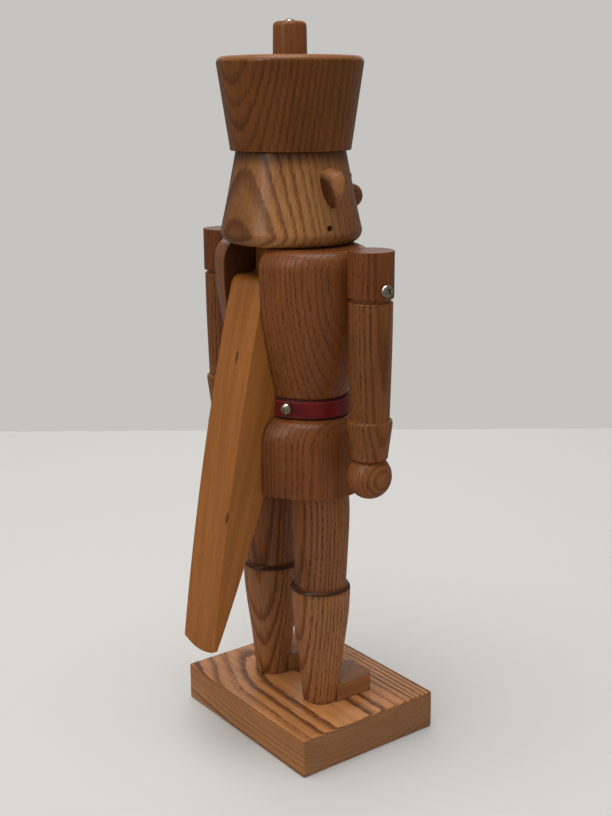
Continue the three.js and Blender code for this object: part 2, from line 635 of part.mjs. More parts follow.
// Block between the trunk halves, below the jaw at its widest, whose upper back edge stops the handle
const jawLow = pivot.z - JAW_REACH * Math.sin(swing) - (JAW_DEPTH - JAW_RISE) * Math.cos(swing);
const frontTop = jawLow - JAW_CLEARANCE;
const underJaw = new THREE.QuadraticBezierCurve(jawFront, jawBend, throat);
const stopPoint = underJaw.getPoints(STOP_STEPS).find((p) => pivot.z + p.y < frontTop) ?? throat;
const frontBack = pivot.y + stopPoint.x - STOP_GAP;
piece("torso_front", common(
  trunk,
  block([SEAT - slotSide, -FAR, 0], [slotSide - SEAT, frontBack, frontTop]),
), ash());

// Hat, knob and the screw that holds the knob
const hat = turned([
  [0, 0],
  [HAT_BRIM_RADIUS, 0],
  ...arc(HAT_TOP_RADIUS - HAT_ROUND, HAT_HEIGHT - HAT_ROUND, HAT_ROUND, HAT_ROUND, 0, 90),
  [0, HAT_HEIGHT],
], TRUNK_SIDES);
const knobScrewSeat = KNOB_HEIGHT - KNOB_SCREW_SINK + SEAT;
const knobScrewHole = screwHole(KNOB_SCREW_LENGTH, SEAT);
piece("hat", cut(
  hat,
  dowelHole(-SEAT / 2),
  knobScrewHole.clone().translate(0, 0, knobFoot + knobScrewSeat - hatFoot),
), darkAsh(), [0, FIGURE_SETBACK, hatFoot]);
const knob = turned([
  [0, 0],
  [KNOB_RADIUS, 0],
  ...arc(KNOB_RADIUS - KNOB_ROUND, KNOB_HEIGHT - KNOB_ROUND, KNOB_ROUND, KNOB_ROUND, 0, 90),
  [0, KNOB_HEIGHT],
]);
const drilledKnob = cut(
  knob,
  knobScrewHole.clone().translate(0, 0, knobScrewSeat),
  peg(SCREW_HEAD_RADIUS + SEAT, KNOB_HEIGHT - KNOB_SCREW_SINK, FAR),
);
piece("hat_knob", drilledKnob, darkAsh(), [0, FIGURE_SETBACK, knobFoot]);
piece("knob_screw", roundScrew(KNOB_SCREW_LENGTH), steel(), [0, FIGURE_SETBACK, knobFoot + knobScrewSeat]);
piece("hat_dowel", dowel(hatLevel), dowelWood(), [0, FIGURE_SETBACK, 0]);

// Arms, drawn with the shoulder screw at height 0
const grooveAt = (height, radius) => [
  [radius - GROOVE_DEPTH, height - GROOVE_WIDTH / 2],
  [radius - GROOVE_DEPTH, height + GROOVE_WIDTH / 2],
];
const cuffEnd = -CUFF_DROP - CUFF_LENGTH;
const handNeck = WRIST_RADIUS - HAND_CUT;
const handAngle = THREE.MathUtils.radToDeg(Math.acos(handNeck / HAND_RADIUS));
const handLow = THREE.MathUtils.radToDeg(Math.asin(HAND_FLAT / HAND_HALF_HEIGHT - 1));
const arm = turned([
  [0, HAND_FLAT - HAND_HALF_HEIGHT - HAND_DROP],
  ...arc(0, -HAND_DROP, HAND_RADIUS, HAND_HALF_HEIGHT, handLow, handAngle, 2 * ARC_STEPS),
  [handNeck, cuffEnd],
  [WRIST_RADIUS, cuffEnd + GROOVE_WIDTH / 2],
  [CUFF_RADIUS, -CUFF_DROP - GROOVE_WIDTH],
  [CUFF_RADIUS - CUFF_LIP, -CUFF_DROP],
  ...smooth([
    [FOREARM_RADIUS, -CUFF_DROP + GROOVE_WIDTH],
    [ELBOW_RADIUS, -ELBOW_DROP],
    [UPPER_ARM_RADIUS, -SLEEVE_DROP - GROOVE_WIDTH * 1.5],
  ]),
  ...grooveAt(-SLEEVE_DROP - GROOVE_WIDTH / 2, SLEEVE_RADIUS),
  [SLEEVE_RADIUS, -SLEEVE_DROP + GROOVE_WIDTH / 2],
  [SLEEVE_RADIUS, ARM_TOP - ARM_EASE],
  [SLEEVE_RADIUS - ARM_EASE, ARM_TOP],
  [0, ARM_TOP],
]);
SIDES.forEach(({ side, sign }) => {
  const outward = new THREE.Vector3(sign, 0, 0);
  const screwAt = new THREE.Vector3(sign * armScrewSeat, 0, 0);
  const place = [sign * armX, FIGURE_SETBACK, shoulder];
  piece(`${side}_arm`, cut(arm, aimed(screwHole(ARM_SCREW_LENGTH, SEAT), screwAt, outward)), ash(), place);
  piece(`${side}_shoulder_screw`, aimed(roundScrew(ARM_SCREW_LENGTH), screwAt, outward), steel(), place);
});

export default nutcracker;
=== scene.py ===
"""A turned-wood nutcracker figure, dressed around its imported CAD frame.

The figure faces -Y and its own right side is -X. Shapes are worked out in millimetres as whole arrays and
written to the meshes in metres. Places come from the frame's boxes, sizes from the fields of each class.
"""

import json
import logging
import math
from dataclasses import dataclass, field
from enum import Enum

import bmesh
import bpy
import numpy as np
from mathutils import Matrix, Vector


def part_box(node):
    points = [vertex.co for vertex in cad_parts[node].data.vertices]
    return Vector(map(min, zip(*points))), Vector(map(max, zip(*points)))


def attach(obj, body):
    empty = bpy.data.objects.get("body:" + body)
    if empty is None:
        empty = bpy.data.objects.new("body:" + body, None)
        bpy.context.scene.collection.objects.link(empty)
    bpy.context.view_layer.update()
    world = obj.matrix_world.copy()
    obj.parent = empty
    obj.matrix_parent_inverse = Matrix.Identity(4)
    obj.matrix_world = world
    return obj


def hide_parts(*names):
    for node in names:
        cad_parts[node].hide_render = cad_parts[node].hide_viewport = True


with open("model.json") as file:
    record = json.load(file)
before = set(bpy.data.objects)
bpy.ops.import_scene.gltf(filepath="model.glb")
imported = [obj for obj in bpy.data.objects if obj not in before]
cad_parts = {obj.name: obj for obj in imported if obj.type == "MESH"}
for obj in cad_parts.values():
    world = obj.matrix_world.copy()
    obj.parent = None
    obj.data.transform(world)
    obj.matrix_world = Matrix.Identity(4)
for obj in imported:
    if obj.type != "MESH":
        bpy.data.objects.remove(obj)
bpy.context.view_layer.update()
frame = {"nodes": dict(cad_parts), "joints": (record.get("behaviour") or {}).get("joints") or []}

LOG = logging.getLogger("nutcracker")

Array = np.ndarray
Pair = tuple[float, float]
Triple = tuple[float, float, float]
Piece = bpy.types.Object
Material = bpy.types.Material
Tree = bpy.types.NodeTree
Results = dict[str, bpy.types.NodeSocket]  # what the steps of a finish give, by name

MM = 0.001
WELD = 1e-7  # metres: corners closer than this are one
SHARP = math.radians(38.0)  # steeper edges stay crisp
ROUND_SIDES = 128
WIDE_SIDES = 160  # for the widest turned pieces
SMALL_SIDES = 96
PEG_SIDES = 64
DRILL_SIDES = 48
BORE_SIDES = 32
SEAT = 0.3  # glue line of the frame's pieces
RUN = 0.6  # each side of a piece that moves
BEYOND = 90.0  # past the end of any piece: the far edge of a stain that has none
SEED_STEP = 37.0  # how far one seed lies from the next along the fibres

# Kinds of shader nodes, and the vector operations that give a plain number
MATH = "ShaderNodeMath"
VECTOR = "ShaderNodeVectorMath"
RANGE = "ShaderNodeMapRange"
MIX = "ShaderNodeMix"
NOISE = "ShaderNodeTexNoise"
SEPARATE = "ShaderNodeSeparateXYZ"
BUMP = "ShaderNodeBump"
COORDINATE = "ShaderNodeTexCoord"
MAPPING = "ShaderNodeMapping"
TO_NUMBER = ("LENGTH", "DOT_PRODUCT")
ONE_WAY = {"noise_dimensions": "1D"}


class Side(Enum):
    """The figure's own two sides, with the sign of their X."""

    RIGHT = -1
    LEFT = 1

    @property
    def word(self) -> str:
        """The side's name as the frame's nodes begin."""
        return self.name.lower()


class Grain(Enum):
    """Which way the wood's fibres run, as the rows that turn that axis to Z."""

    UPRIGHT = ((1, 0, 0), (0, 1, 0), (0, 0, 1))
    ACROSS = ((0, 1, 0), (0, 0, 1), (1, 0, 0))
    FORWARD = ((0, 0, 1), (1, 0, 0), (0, 1, 0))


class Blend(Enum):
    """How a stain lies on the wood."""

    COVER = "MIX"  # hides the figure by its strength
    SHADE = "MULTIPLY"  # darkens and leaves the figure in place
    TINT = "SCREEN"  # lightens and leaves the figure in place


# Shapes


def box_mm(node: str) -> tuple[Array, Array]:
    """The lowest and highest corner of a frame node.

    Args:
        node: the node's name.

    Returns:
        Two points in millimetres.
    """
    low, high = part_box(node)
    return np.array(low) / MM, np.array(high) / MM


def middle_mm(node: str) -> Array:
    """The middle of a frame node's box, in millimetres."""
    return np.add(*box_mm(node)) / 2


def upright(node: str, height: float) -> Array:
    """The point at a height on the upright line through a frame node's middle, in millimetres."""
    return np.array([*middle_mm(node)[:2], height])


def joint(name: str) -> dict:
    """The frame's joint of that name."""
    return next(row for row in frame["joints"] if row["name"] == name)


def pivot_mm(name: str) -> Array:
    """The pivot of a joint, in millimetres."""
    return np.array(joint(name)["pos_m"]) / MM


def arc(centre: Pair, radii: Pair, start: float, stop: float, steps: int) -> Array:
    """Points of an ellipse: centre + radii * (cos, sin), with the angle going evenly from start to stop.

    Args:
        centre: the ellipse's middle.
        radii: its half-sizes.
        start: first angle in degrees.
        stop: last angle in degrees.
        steps: how many stretches the arc has.

    Returns:
        An array of steps + 1 points.
    """
    angle = np.radians(np.linspace(start, stop, steps + 1))
    return np.stack([centre[0] + radii[0] * np.cos(angle), centre[1] + radii[1] * np.sin(angle)], axis=1)


def spline(stations: list[Pair], steps: int) -> Array:
    """A smooth curve through stations: a uniform Catmull-Rom cubic with its end stations doubled.

    Args:
        stations: the points that the curve passes.
        steps: how many stretches the whole curve has.

    Returns:
        An array of steps + 1 points.
    """
    points = np.array(stations, float)
    padded = np.vstack([points[:1], points, points[-1:]])
    along = np.linspace(0, len(points) - 1, steps + 1)
    first = np.minimum(along.astype(int), len(points) - 2)
    t = (along - first)[:, None]
    p0, p1, p2, p3 = (padded[first + k] for k in range(4))
    v1, v2 = (p2 - p0) / 2, (p3 - p1) / 2
    return (2 * p1 - 2 * p2 + v1 + v2) * t**3 + (3 * p2 - 3 * p1) * t**2 - (2 * v1 + v2) * t**2 + v1 * t + p1


def bezier(start: Array, bend: Array, stop: Array, t: Array) -> Array:
    """A quadratic curve: (1-t)^2 start + 2t(1-t) bend + t^2 stop.

    Args:
        start: first point.
        bend: the point that the curve leans to.
        stop: last point.
        t: places along the curve, from 0 to 1.

    Returns:
        One point for each place.
    """
    t = np.asarray(t, float)[..., None]
    return (1 - t) ** 2 * np.asarray(start) + 2 * t * (1 - t) * np.asarray(bend) + t**2 * np.asarray(stop)


def smoothstep(low: float, high: float, value: Array) -> Array:
    """A soft step from 0 at low to 1 at high: 3s^2 - 2s^3 of the clipped share s."""
    share = np.clip((value - low) / (high - low), 0, 1)
    return share**2 * (3 - 2 * share)


def eased(corners: list[Triple], steps: int = 5) -> Array:
    """A line through corners, each rounded by a quadratic curve that starts and ends its ease away.

    Args:
        corners: points with the length of the rounding at each; 0 keeps a point as it is.
        steps: stretches of each rounding.

    Returns:
        The line's points.
    """
    points = np.array(corners, float)
    place, ease = points[:, :2], points[:, 2]
    line = []
    for i, corner in enumerate(place):
        if ease[i] == 0 or i in (0, len(place) - 1):
            line.append(corner[None])
            continue
        towards = [place[j] - corner for j in (i - 1, i + 1)]
        before, after = (corner + d * min(0.49, ease[i] / np.linalg.norm(d)) for d in towards)
        line.append(bezier(before, corner, after, np.linspace(0, 1, steps + 1)))
    return np.vstack(line)


def turned(profile: Array, axis: Array, sides: int = ROUND_SIDES) -> Array:
    """A profile of [radius, height] carried round an upright axis: x = r cos a, y = r sin a.

    Args:
        profile: the profile's points, with its ends on the axis.
        axis: the point of the axis where height is 0.
        sides: how many points go round.

    Returns:
        A grid of points, one row for each profile point.
    """
    angle = np.linspace(0, 2 * math.pi, sides, endpoint=False)
    radius, height = profile[:, :1], profile[:, 1:]
    ring = [radius * np.cos(angle), radius * np.sin(angle), height + 0 * angle]
    return np.stack(ring, axis=2) + axis


def aimed(grid: Array, point: Array, direction: Array) -> Array:
    """Turns a shape drawn along +Z to a direction and moves its origin to a point.

    Args:
        grid: points drawn about the origin.
        point: where the origin goes.
        direction: where +Z goes.

    Returns:
        The moved points.
    """
    turn = Vector((0, 0, 1)).rotation_difference(Vector(direction)).to_matrix()
    return grid @ np.array(turn).T + point


def skin(name: str, grid: Array, capped: bool = False) -> Piece:
    """A closed skin over a grid whose rows are rings: quads between rows, welded where points meet.

    Args:
        name: the new object's name.
        grid: rows of points in millimetres; each row closes on itself.
        capped: whether the first and last rings are closed by flat faces.

    Returns:
        The object, at the origin, with its normals outwards.
    """
    rows, columns = grid.shape[:2]
    corner = np.arange(rows * columns).reshape(rows, columns)
    beside = np.roll(corner, -1, axis=1)
    faces = np.stack([corner[:-1], beside[:-1], beside[1:], corner[1:]], axis=2).reshape(-1, 4).tolist()
    if capped:
        faces += [corner[0, ::-1].tolist(), corner[-1].tolist()]
    mesh = bpy.data.meshes.new(name)
    mesh.from_pydata((grid.reshape(-1, 3) * MM).tolist(), [], faces)
    return finish_mesh(name, mesh)


def finish_mesh(name: str, mesh: bpy.types.Mesh) -> Piece:
    """Welds a mesh, points its faces outwards, smooths it and links an object that holds it.

    Args:
        name: the object's name.
        mesh: the mesh.

    Returns:
        The linked object.
    """
    work = bmesh.new()
    work.from_mesh(mesh)
    bmesh.ops.remove_doubles(work, verts=work.verts, dist=WELD)
    bmesh.ops.recalc_face_normals(work, faces=work.faces)
    work.to_mesh(mesh)
    work.free()
    mesh.shade_smooth()
    mesh.set_sharp_from_angle(angle=SHARP)
    piece = bpy.data.objects.new(name, mesh)
    bpy.context.scene.collection.objects.link(piece)
    return piece


def carve(piece: Piece, cutters: list[Piece]) -> Piece:
    """Cuts the cutters' shapes out of a piece and removes the cutters.

    Args:
        piece: the piece to cut.
        cutters: closed shapes.

    Returns:
        A new object under the piece's name.
    """
    for cutter in cutters:
        cut = piece.modifiers.new("cut", "BOOLEAN")
        cut.operation = "DIFFERENCE"
        cut.solver = "EXACT"
        cut.object = cutter
    bpy.context.view_layer.update()
    shaped = piece.evaluated_get(bpy.context.evaluated_depsgraph_get())
    mesh = bpy.data.meshes.new_from_object(shaped)
    name = piece.name
    for spent in [piece, *cutters]:
        bpy.data.objects.remove(spent)
    mesh.name = name
    return finish_mesh(name, mesh)


def raised(plan: Array, height: Array) -> Array:
    """Rows of plan points, each row lifted to its own height.

    Args:
        plan: rows of [x, y].
        height: a column with one height for each row.

    Returns:
        Rows of [x, y, z].
    """
    return np.dstack([plan, np.broadcast_to(height, plan.shape[:2])])


def prism(name: str, ring: Array, bottom: float, top: float) -> Piece:
    """A plain prism over a ring of plan points, closed below and above."""
    return skin(name, raised(np.stack([ring, ring]), np.array([[bottom], [top]])), capped=True)


def block(name: str, low: list[float], high: list[float]) -> Piece:
    """A plain box between two corners, for cutting."""
    (x0, y0, z0), (x1, y1, z1) = low, high
    return prism(name, np.array([[x0, y0], [x1, y0], [x1, y1], [x0, y1]]), z0, z1)


def pin_bore(pivot: Array, radius: float, reach: float) -> Piece:
    """A cutter for the lever pin's bore, which goes as far as reach to either side of the pivot."""
    profile = np.array([(0, -reach), (radius, -reach), (radius, reach), (0, reach)])
    return skin("pin_bore", aimed(turned(profile, np.zeros(3), BORE_SIDES), pivot, np.array([1.0, 0.0, 0.0])))


def settle(piece: Piece, body: str, material: Material, nodes: list[str]) -> Piece:
    """Dresses a piece, lets it ride on its body and stand for its frame nodes.

    Args:
        piece: the finished piece.
        body: the body that it moves with.
        material: its finish.
        nodes: the frame nodes that it replaces.

    Returns:
        The piece.
    """
    piece.data.materials.clear()
    piece.data.materials.append(material)
    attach(piece, body)
    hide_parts(*nodes)
    LOG.info("%s: %d faces on %s", piece.name, len(piece.data.polygons), body)
    return piece


# Finishes


def linear(code: str) -> tuple[float, float, float, float]:
    """The linear colour of an sRGB hex value.

    Args:
        code: the value, such as "#8a5a34".

    Returns:
        Red, green, blue and a full alpha.
    """
    share = np.array([int(code[i : i + 2], 16) for i in (1, 3, 5)]) / 255
    value = np.where(share <= 0.04045, share / 12.92, ((share + 0.055) / 1.055) ** 2.4)
    return (*value.tolist(), 1.0)


def add_node(tree: Tree, kind: str, inputs: dict | None = None, **settings) -> bpy.types.Node:
    """Adds a node with its settings, and links or sets its inputs.

    Args:
        tree: the material's nodes.
        kind: the node's type.
        inputs: what goes into each input, a socket or a plain value, by the input's name or number.
        **settings: the node's own settings.

    Returns:
        The new node.
    """
    made = tree.nodes.new(kind)
    for name, value in settings.items():
        setattr(made, name, value)
    for key, value in (inputs or {}).items():
        if isinstance(value, bpy.types.NodeSocket):
            tree.links.new(value, made.inputs[key])
        else:
            made.inputs[key].default_value = value
    return made


def blank_material(name: str) -> tuple[Material, Tree, bpy.types.Node]:
    """A new material with one Principled shader on its output.

    Args:
        name: the material's name.

    Returns:
        The material, its nodes and the shader.
    """
    material = bpy.data.materials.new(name)
    material.use_nodes = True
    tree = material.node_tree
    tree.nodes.clear()
    shader = add_node(tree, "ShaderNodeBsdfPrincipled")
    add_node(tree, "ShaderNodeOutputMaterial", {"Surface": shader.outputs[0]})
    return material, tree, shader


@dataclass(frozen=True)
class Step:
    """One node of a finish, whose text inputs name the results of earlier steps."""

    result: str
    kind: str
    inputs: dict
    settings: dict = field(default_factory=dict)
    output: int = 0


def weave(tree: Tree, steps: list[Step], results: Results) -> Results:
    """Adds steps in order, each linked to the results that it names.

    Args:
        tree: the nodes to add to.
        steps: what to add.
        results: what is there already.

    Returns:
        All results.
    """
    known = dict(results)
    for step in steps:
        inputs = {key: known[value] if isinstance(value, str) else value
                  for key, value in step.inputs.items()}
        known[step.result] = add_node(tree, step.kind, inputs, **step.settings).outputs[step.output]
    return known


def calc(result: str, operation: str, *inputs: str | float) -> Step:
    """A step of plain arithmetic."""
    return Step(result, MATH, dict(enumerate(inputs)), {"operation": operation})


def vector(result: str, operation: str, *inputs: str | Triple) -> Step:
    """A step of arithmetic on vectors. A length or a dot product is on the node's second output."""
    output = int(operation in TO_NUMBER)
    return Step(result, VECTOR, dict(enumerate(inputs)), {"operation": operation}, output)


def scaled(result: str, source: str, factor: str | float) -> Step:
    """A step that multiplies a vector or a colour by one number."""
    return Step(result, VECTOR, {0: source, "Scale": factor}, {"operation": "SCALE"})


def ramp(
    result: str, source: str, low: float, high: float, start: float = 0.0, stop: float = 1.0,
    soft: bool = True,
) -> Step:
    """A step that goes from start to stop while its source goes from low to high.

    Args:
        result: the step's name.
        source: the result that it follows.
        low: where the source begins to count.
        high: where it ends.
        start: the value up to low.
        stop: the value from high on.
        soft: whether it starts and ends gently.

    Returns:
        The step.
    """
    limits = {"Value": source, "From Min": low, "From Max": high, "To Min": start, "To Max": stop}
    return Step(result, RANGE, limits, {"interpolation_type": "SMOOTHSTEP"} if soft else {})


def tinted(result: str, share: str, under: str, over: str, blend: Blend = Blend.COVER) -> Step:
    """A step that lays one colour over another.

    Args:
        result: the step's name.
        share: the result that says how much of the upper colour shows.
        under: the lower colour, as a result or a hex value.
        over: the upper colour, as a hex value.
        blend: how the upper colour lies.

    Returns:
        The step.
    """
    below = linear(under) if under.startswith("#") else under
    settings = {"data_type": "RGBA", "blend_type": blend.value}
    return Step(result, MIX, {0: share, 6: below, 7: linear(over)}, settings, 2)


def fibre_fields(fields: dict[str, Triple]) -> list[Step]:
    """Soft random fields stretched along the fibres, which run along Z of the result "place".

    Args:
        fields: for each result, the width of its grains across the fibres, their length and its detail.

    Returns:
        The steps.
    """
    steps = []
    for word, (width, length, detail) in fields.items():
        steps.append(vector(f"{word}_place", "MULTIPLY", "place", (1 / width, 1 / width, 1 / length)))
        steps.append(Step(word, NOISE, {"Vector": f"{word}_place", "Scale": 1.0, "Detail": detail}))
    return steps


def finished(
    name: str, steps: list[Step], shine: float, turn: Matrix | None = None,
    shift: Triple = (0.0, 0.0, 0.0), metal: float = 0.0,
) -> Material:
    """A material from steps that end in "colour" and "rough", and in "bump" where it has one.

    Args:
        name: the material's name.
        steps: what to weave from "object", "normal", "millimetres" and, where there is a turn, "place".
        shine: strength of the reflection.
        turn: turns the fibres of "place" to Z.
        shift: moves "place", in millimetres.
        metal: 1 for a metal.

    Returns:
        The material.
    """
    material, tree, shader = blank_material(name)
    coordinate = add_node(tree, COORDINATE).outputs
    known = {"object": coordinate["Object"], "normal": coordinate["Normal"]}
    if turn is not None:
        mapping = {"Vector": known["object"], "Location": shift, "Rotation": turn.to_euler("XYZ")}
        known["place"] = add_node(tree, MAPPING, mapping | {"Scale": (1 / MM,) * 3}).outputs[0]
    results = weave(tree, [scaled("millimetres", "object", 1 / MM), *steps], known)
    for key, result in {"Base Color": "colour", "Roughness": "rough", "Normal": "bump"}.items():
        if result in results:
            tree.links.new(results[result], shader.inputs[key])
    shader.inputs["Specular IOR Level"].default_value = shine
    shader.inputs["Metallic"].default_value = metal
    return material


@dataclass(frozen=True)
class Stain:
    """A burnt, shaded or tinted layer between two places along one direction, in millimetres."""

    low: float
    high: float
    colour: str
    blur: float = 0.35
    along: Triple = (0.0, 0.0, 1.0)
    strength: float = 1.0
    blend: Blend = Blend.COVER


@dataclass(frozen=True)
class RingWood:
    """Varnished ring-porous wood, such as chestnut or ash, turned or planed from a solid blank.

    The growth rings are shells round a pith line outside the piece, so quarter faces show straight lines and
    the faces that look away from the pith show arches and ovals. Each ring opens with a band of large pores,
    which are cut as short dark dashes along the fibres. The varnish gives a satin gloss.
    """

    name: str
    light: str
    dark: str
    pore: str
    ring: float  # spacing of the growth rings
    pith: float  # distance of the pith line from the piece's middle
    bearing: float  # degrees from +X towards +Y of the face that looks away from the pith
    grain: Grain = Grain.UPRIGHT
    slope: Pair = (0.0, 0.0)  # degrees that the fibres lean to +Y and to -X on their way up
    wander: float = 4.0  # how far the rings stray from round
    uneven: float = 0.8  # how far the rings' spacing varies, in rings
    crowding: float = 0.0  # how much closer the rings lie at the piece's outside than at its middle
    reach: float = 33.0  # from the middle to the outside
    offset: float = 0.0  # shift of the rings outward
    luck: Pair = (0.35, 1.1)  # strength of the weakest and the boldest rings
    bow: Triple = (0.0, 1.0, 0.0)  # a bend in the rings: its start, its end, how far
    veil: float = 0.2  # what is left of the pores on the face that looks away from the pith
    calm: float = 1.0  # what is left of the figure on the faces that look across it or to the pith
    early: float = 0.45  # share of a ring that its porous band takes
    band: float = 0.5  # strength of the band's tone
    arch: float = 0.0  # the same on the face that looks away from the pith, where it differs
    pores: float = 0.85  # strength of the pores' tone
    scattered: float = 0.08  # share of the pores that lie outside the bands
    pore_width: float = 0.36
    pore_length: float = 2.2
    figure_length: float = 70.0  # length of the rings' waves along the fibres
    cloud: float = 0.2  # strength of the slow change of tone
    gloss: float = 0.24  # roughness
    gloss_spread: float = 0.1  # how much rougher the dullest fibres are
    pore_rough: float = 0.18  # how much rougher the pores are
    fuzz: float = 0.35  # how far the rings' edges are blurred, in rings
    pace: float = 0.22  # how often the rings' spacing changes, in turns for a ring
    shine: float = 0.25  # strength of the reflection
    end_tone: str = ""  # colour of faces across the fibres, where it differs
    seed: float = 0.0
    stains: tuple[Stain, ...] = ()

    def ring_steps(self) -> list[Step]:
        """The rings, their porous bands and their pores.

        Ring number = (distance from the pith line + slow waves + fuzz) / spacing + unevenness.

        Returns:
            The steps, which end in the results "porous" and "pores".
        """
        start, stop, far = self.bow
        shift = SEED_STEP * self.seed
        weakest, boldest = self.luck
        return [
            *fibre_fields({
                "waves": (30.0, self.figure_length, 2.0),
                "fuzz": (1.0, 8.0, 2.0),
                "dashes": (self.pore_width, self.pore_length, 1.0),
                "streaks": (0.9, 38.0, 3.0),
                "clouds": (24.0, 50.0, 2.0),
            }),
            vector("flat", "MULTIPLY", "place", (1.0, 1.0, 0.0)),
            vector("radius", "LENGTH", "flat"),
            Step("along_fibre", SEPARATE, {0: "place"}, {}, 2),
            ramp("bow", "along_fibre", start + shift, stop + shift, 0.0, far),
            calc("bowed", "ADD", "radius", "bow"),
            calc("strayed", "MULTIPLY_ADD", "waves", self.wander, "bowed"),
            calc("outward", "SUBTRACT", "strayed", self.pith + self.offset),
            calc("far", "MULTIPLY", "outward", "outward"),
            calc("crowd", "MULTIPLY_ADD", "far", self.crowding / 3 / self.reach**2, 1.0),
            calc("crowded", "MULTIPLY", "outward", "crowd"),
            calc("fuzzed", "MULTIPLY_ADD", "fuzz", self.fuzz * self.ring, "crowded"),
            calc("pace", "MULTIPLY", "radius", self.pace / self.ring),
            Step("change", NOISE, {"W": "pace", "Scale": 1.0, "Detail": 1.0}, ONE_WAY),
            calc("shifted", "MULTIPLY_ADD", "change", 4.0 * self.uneven * self.ring, "fuzzed"),
            calc("rings", "MULTIPLY", "shifted", 1 / self.ring),
            calc("phase", "FRACT", "rings"),
            calc("number", "FLOOR", "rings"),
            Step("chance", "ShaderNodeTexWhiteNoise", {"W": "number"}, ONE_WAY),
            ramp("luck", "chance", 0.0, 1.0, weakest, boldest, soft=False),
            ramp("calm", "outface", 0.0, 0.75, self.calm),
            calc("figure", "MULTIPLY", "luck", "calm"),
            ramp("fading", "phase", 0.06, self.early, 1.0, 0.0),
            ramp("opening", "phase", 0.86, 1.0),
            calc("porous", "MAXIMUM", "fading", "opening"),
            ramp("rows", "porous", 0.15, 0.8, self.scattered),
            ramp("cuts", "dashes", 0.5, 0.58),
            calc("open", "MULTIPLY", "cuts", "rows"),
            ramp("veil", "outface", 0.72, 0.96, 1.0, self.veil),
            calc("veiled", "MULTIPLY", "open", "veil"),
            calc("pores", "MULTIPLY", "veiled", "calm"),
        ]

    def colour_steps(self) -> list[Step]:
        """Late wood, then the band, then the pores, with streaks and slow clouds over all, then the stains.

        Returns:
            The steps, which end in the result "colour".
        """
        steps = [
            calc("band", "MULTIPLY", "porous", "figure"),
            ramp("bold", "outface", 0.55, 0.9, self.band, self.arch or self.band),
            Step("band_share", MATH, {0: "band", 1: "bold"}, {"operation": "MULTIPLY", "use_clamp": True}),
            tinted("banded", "band_share", self.light, self.dark),
            calc("pore_share", "MULTIPLY", "pores", self.pores),
            tinted("pored", "pore_share", "banded", self.pore),
            ramp("streak_tone", "streaks", 0.3, 0.7, 0.86, 1.12),
            ramp("cloud_tone", "clouds", 0.3, 0.7, 1.0 - self.cloud, 1.0 + self.cloud * 0.6),
            calc("tone", "MULTIPLY", "streak_tone", "cloud_tone"),
            scaled("colour", "pored", "tone"),
        ]
        if self.end_tone:
            steps += [
                vector("ends", "DOT_PRODUCT", "normal", self.grain.value[2]),
                calc("end_facing", "ABSOLUTE", "ends"),
                ramp("end_share", "end_facing", 0.75, 1.0, 0.0, 0.6),
                tinted("colour", "end_share", "colour", self.end_tone),
            ]
        for stain in self.stains:
            low, high, blur = stain.low, stain.high, stain.blur
            steps += [
                vector("along", "DOT_PRODUCT", "millimetres", stain.along),
                ramp("rise", "along", low - blur, low + blur),
                ramp("fall", "along", high - blur, high + blur, stain.strength, 0.0),
                calc("stain_share", "MULTIPLY", "rise", "fall"),
                tinted("colour", "stain_share", "colour", stain.colour, stain.blend),
            ]
        return steps

    def material(self, centre: Array) -> Material:
        """Builds the wood for a piece with its middle at centre.

        Args:
            centre: the piece's middle in millimetres.

        Returns:
            The material.
        """
        lean_back, lean_right = (math.radians(v) for v in self.slope)
        lean = Matrix.Rotation(lean_back, 3, "X") @ Matrix.Rotation(lean_right, 3, "Y")
        turn = lean @ Matrix(self.grain.value)
        facing = math.radians(self.bearing)
        away = Vector((math.cos(facing), math.sin(facing), 0.0))
        pith = turn @ Vector(centre) - self.pith * away
        shift = (-pith.x, -pith.y, -pith.z + SEED_STEP * self.seed)
        dullest = self.gloss + self.gloss_spread
        return finished(self.name, [
            vector("outface", "DOT_PRODUCT", "normal", tuple(turn.inverted() @ away)),
            *self.ring_steps(),
            *self.colour_steps(),
            calc("fibre_height", "MULTIPLY", "streaks", 0.35),
            calc("height", "SUBTRACT", "fibre_height", "pores"),
            Step("bump", BUMP, {"Strength": 0.2, "Distance": 0.25 * MM, "Height": "height"}),
            ramp("fibre_gloss", "streaks", 0.2, 0.8, self.gloss, dullest, soft=False),
            calc("rough", "MULTIPLY_ADD", "pores", self.pore_rough, "fibre_gloss"),
        ], self.shine, turn, shift)


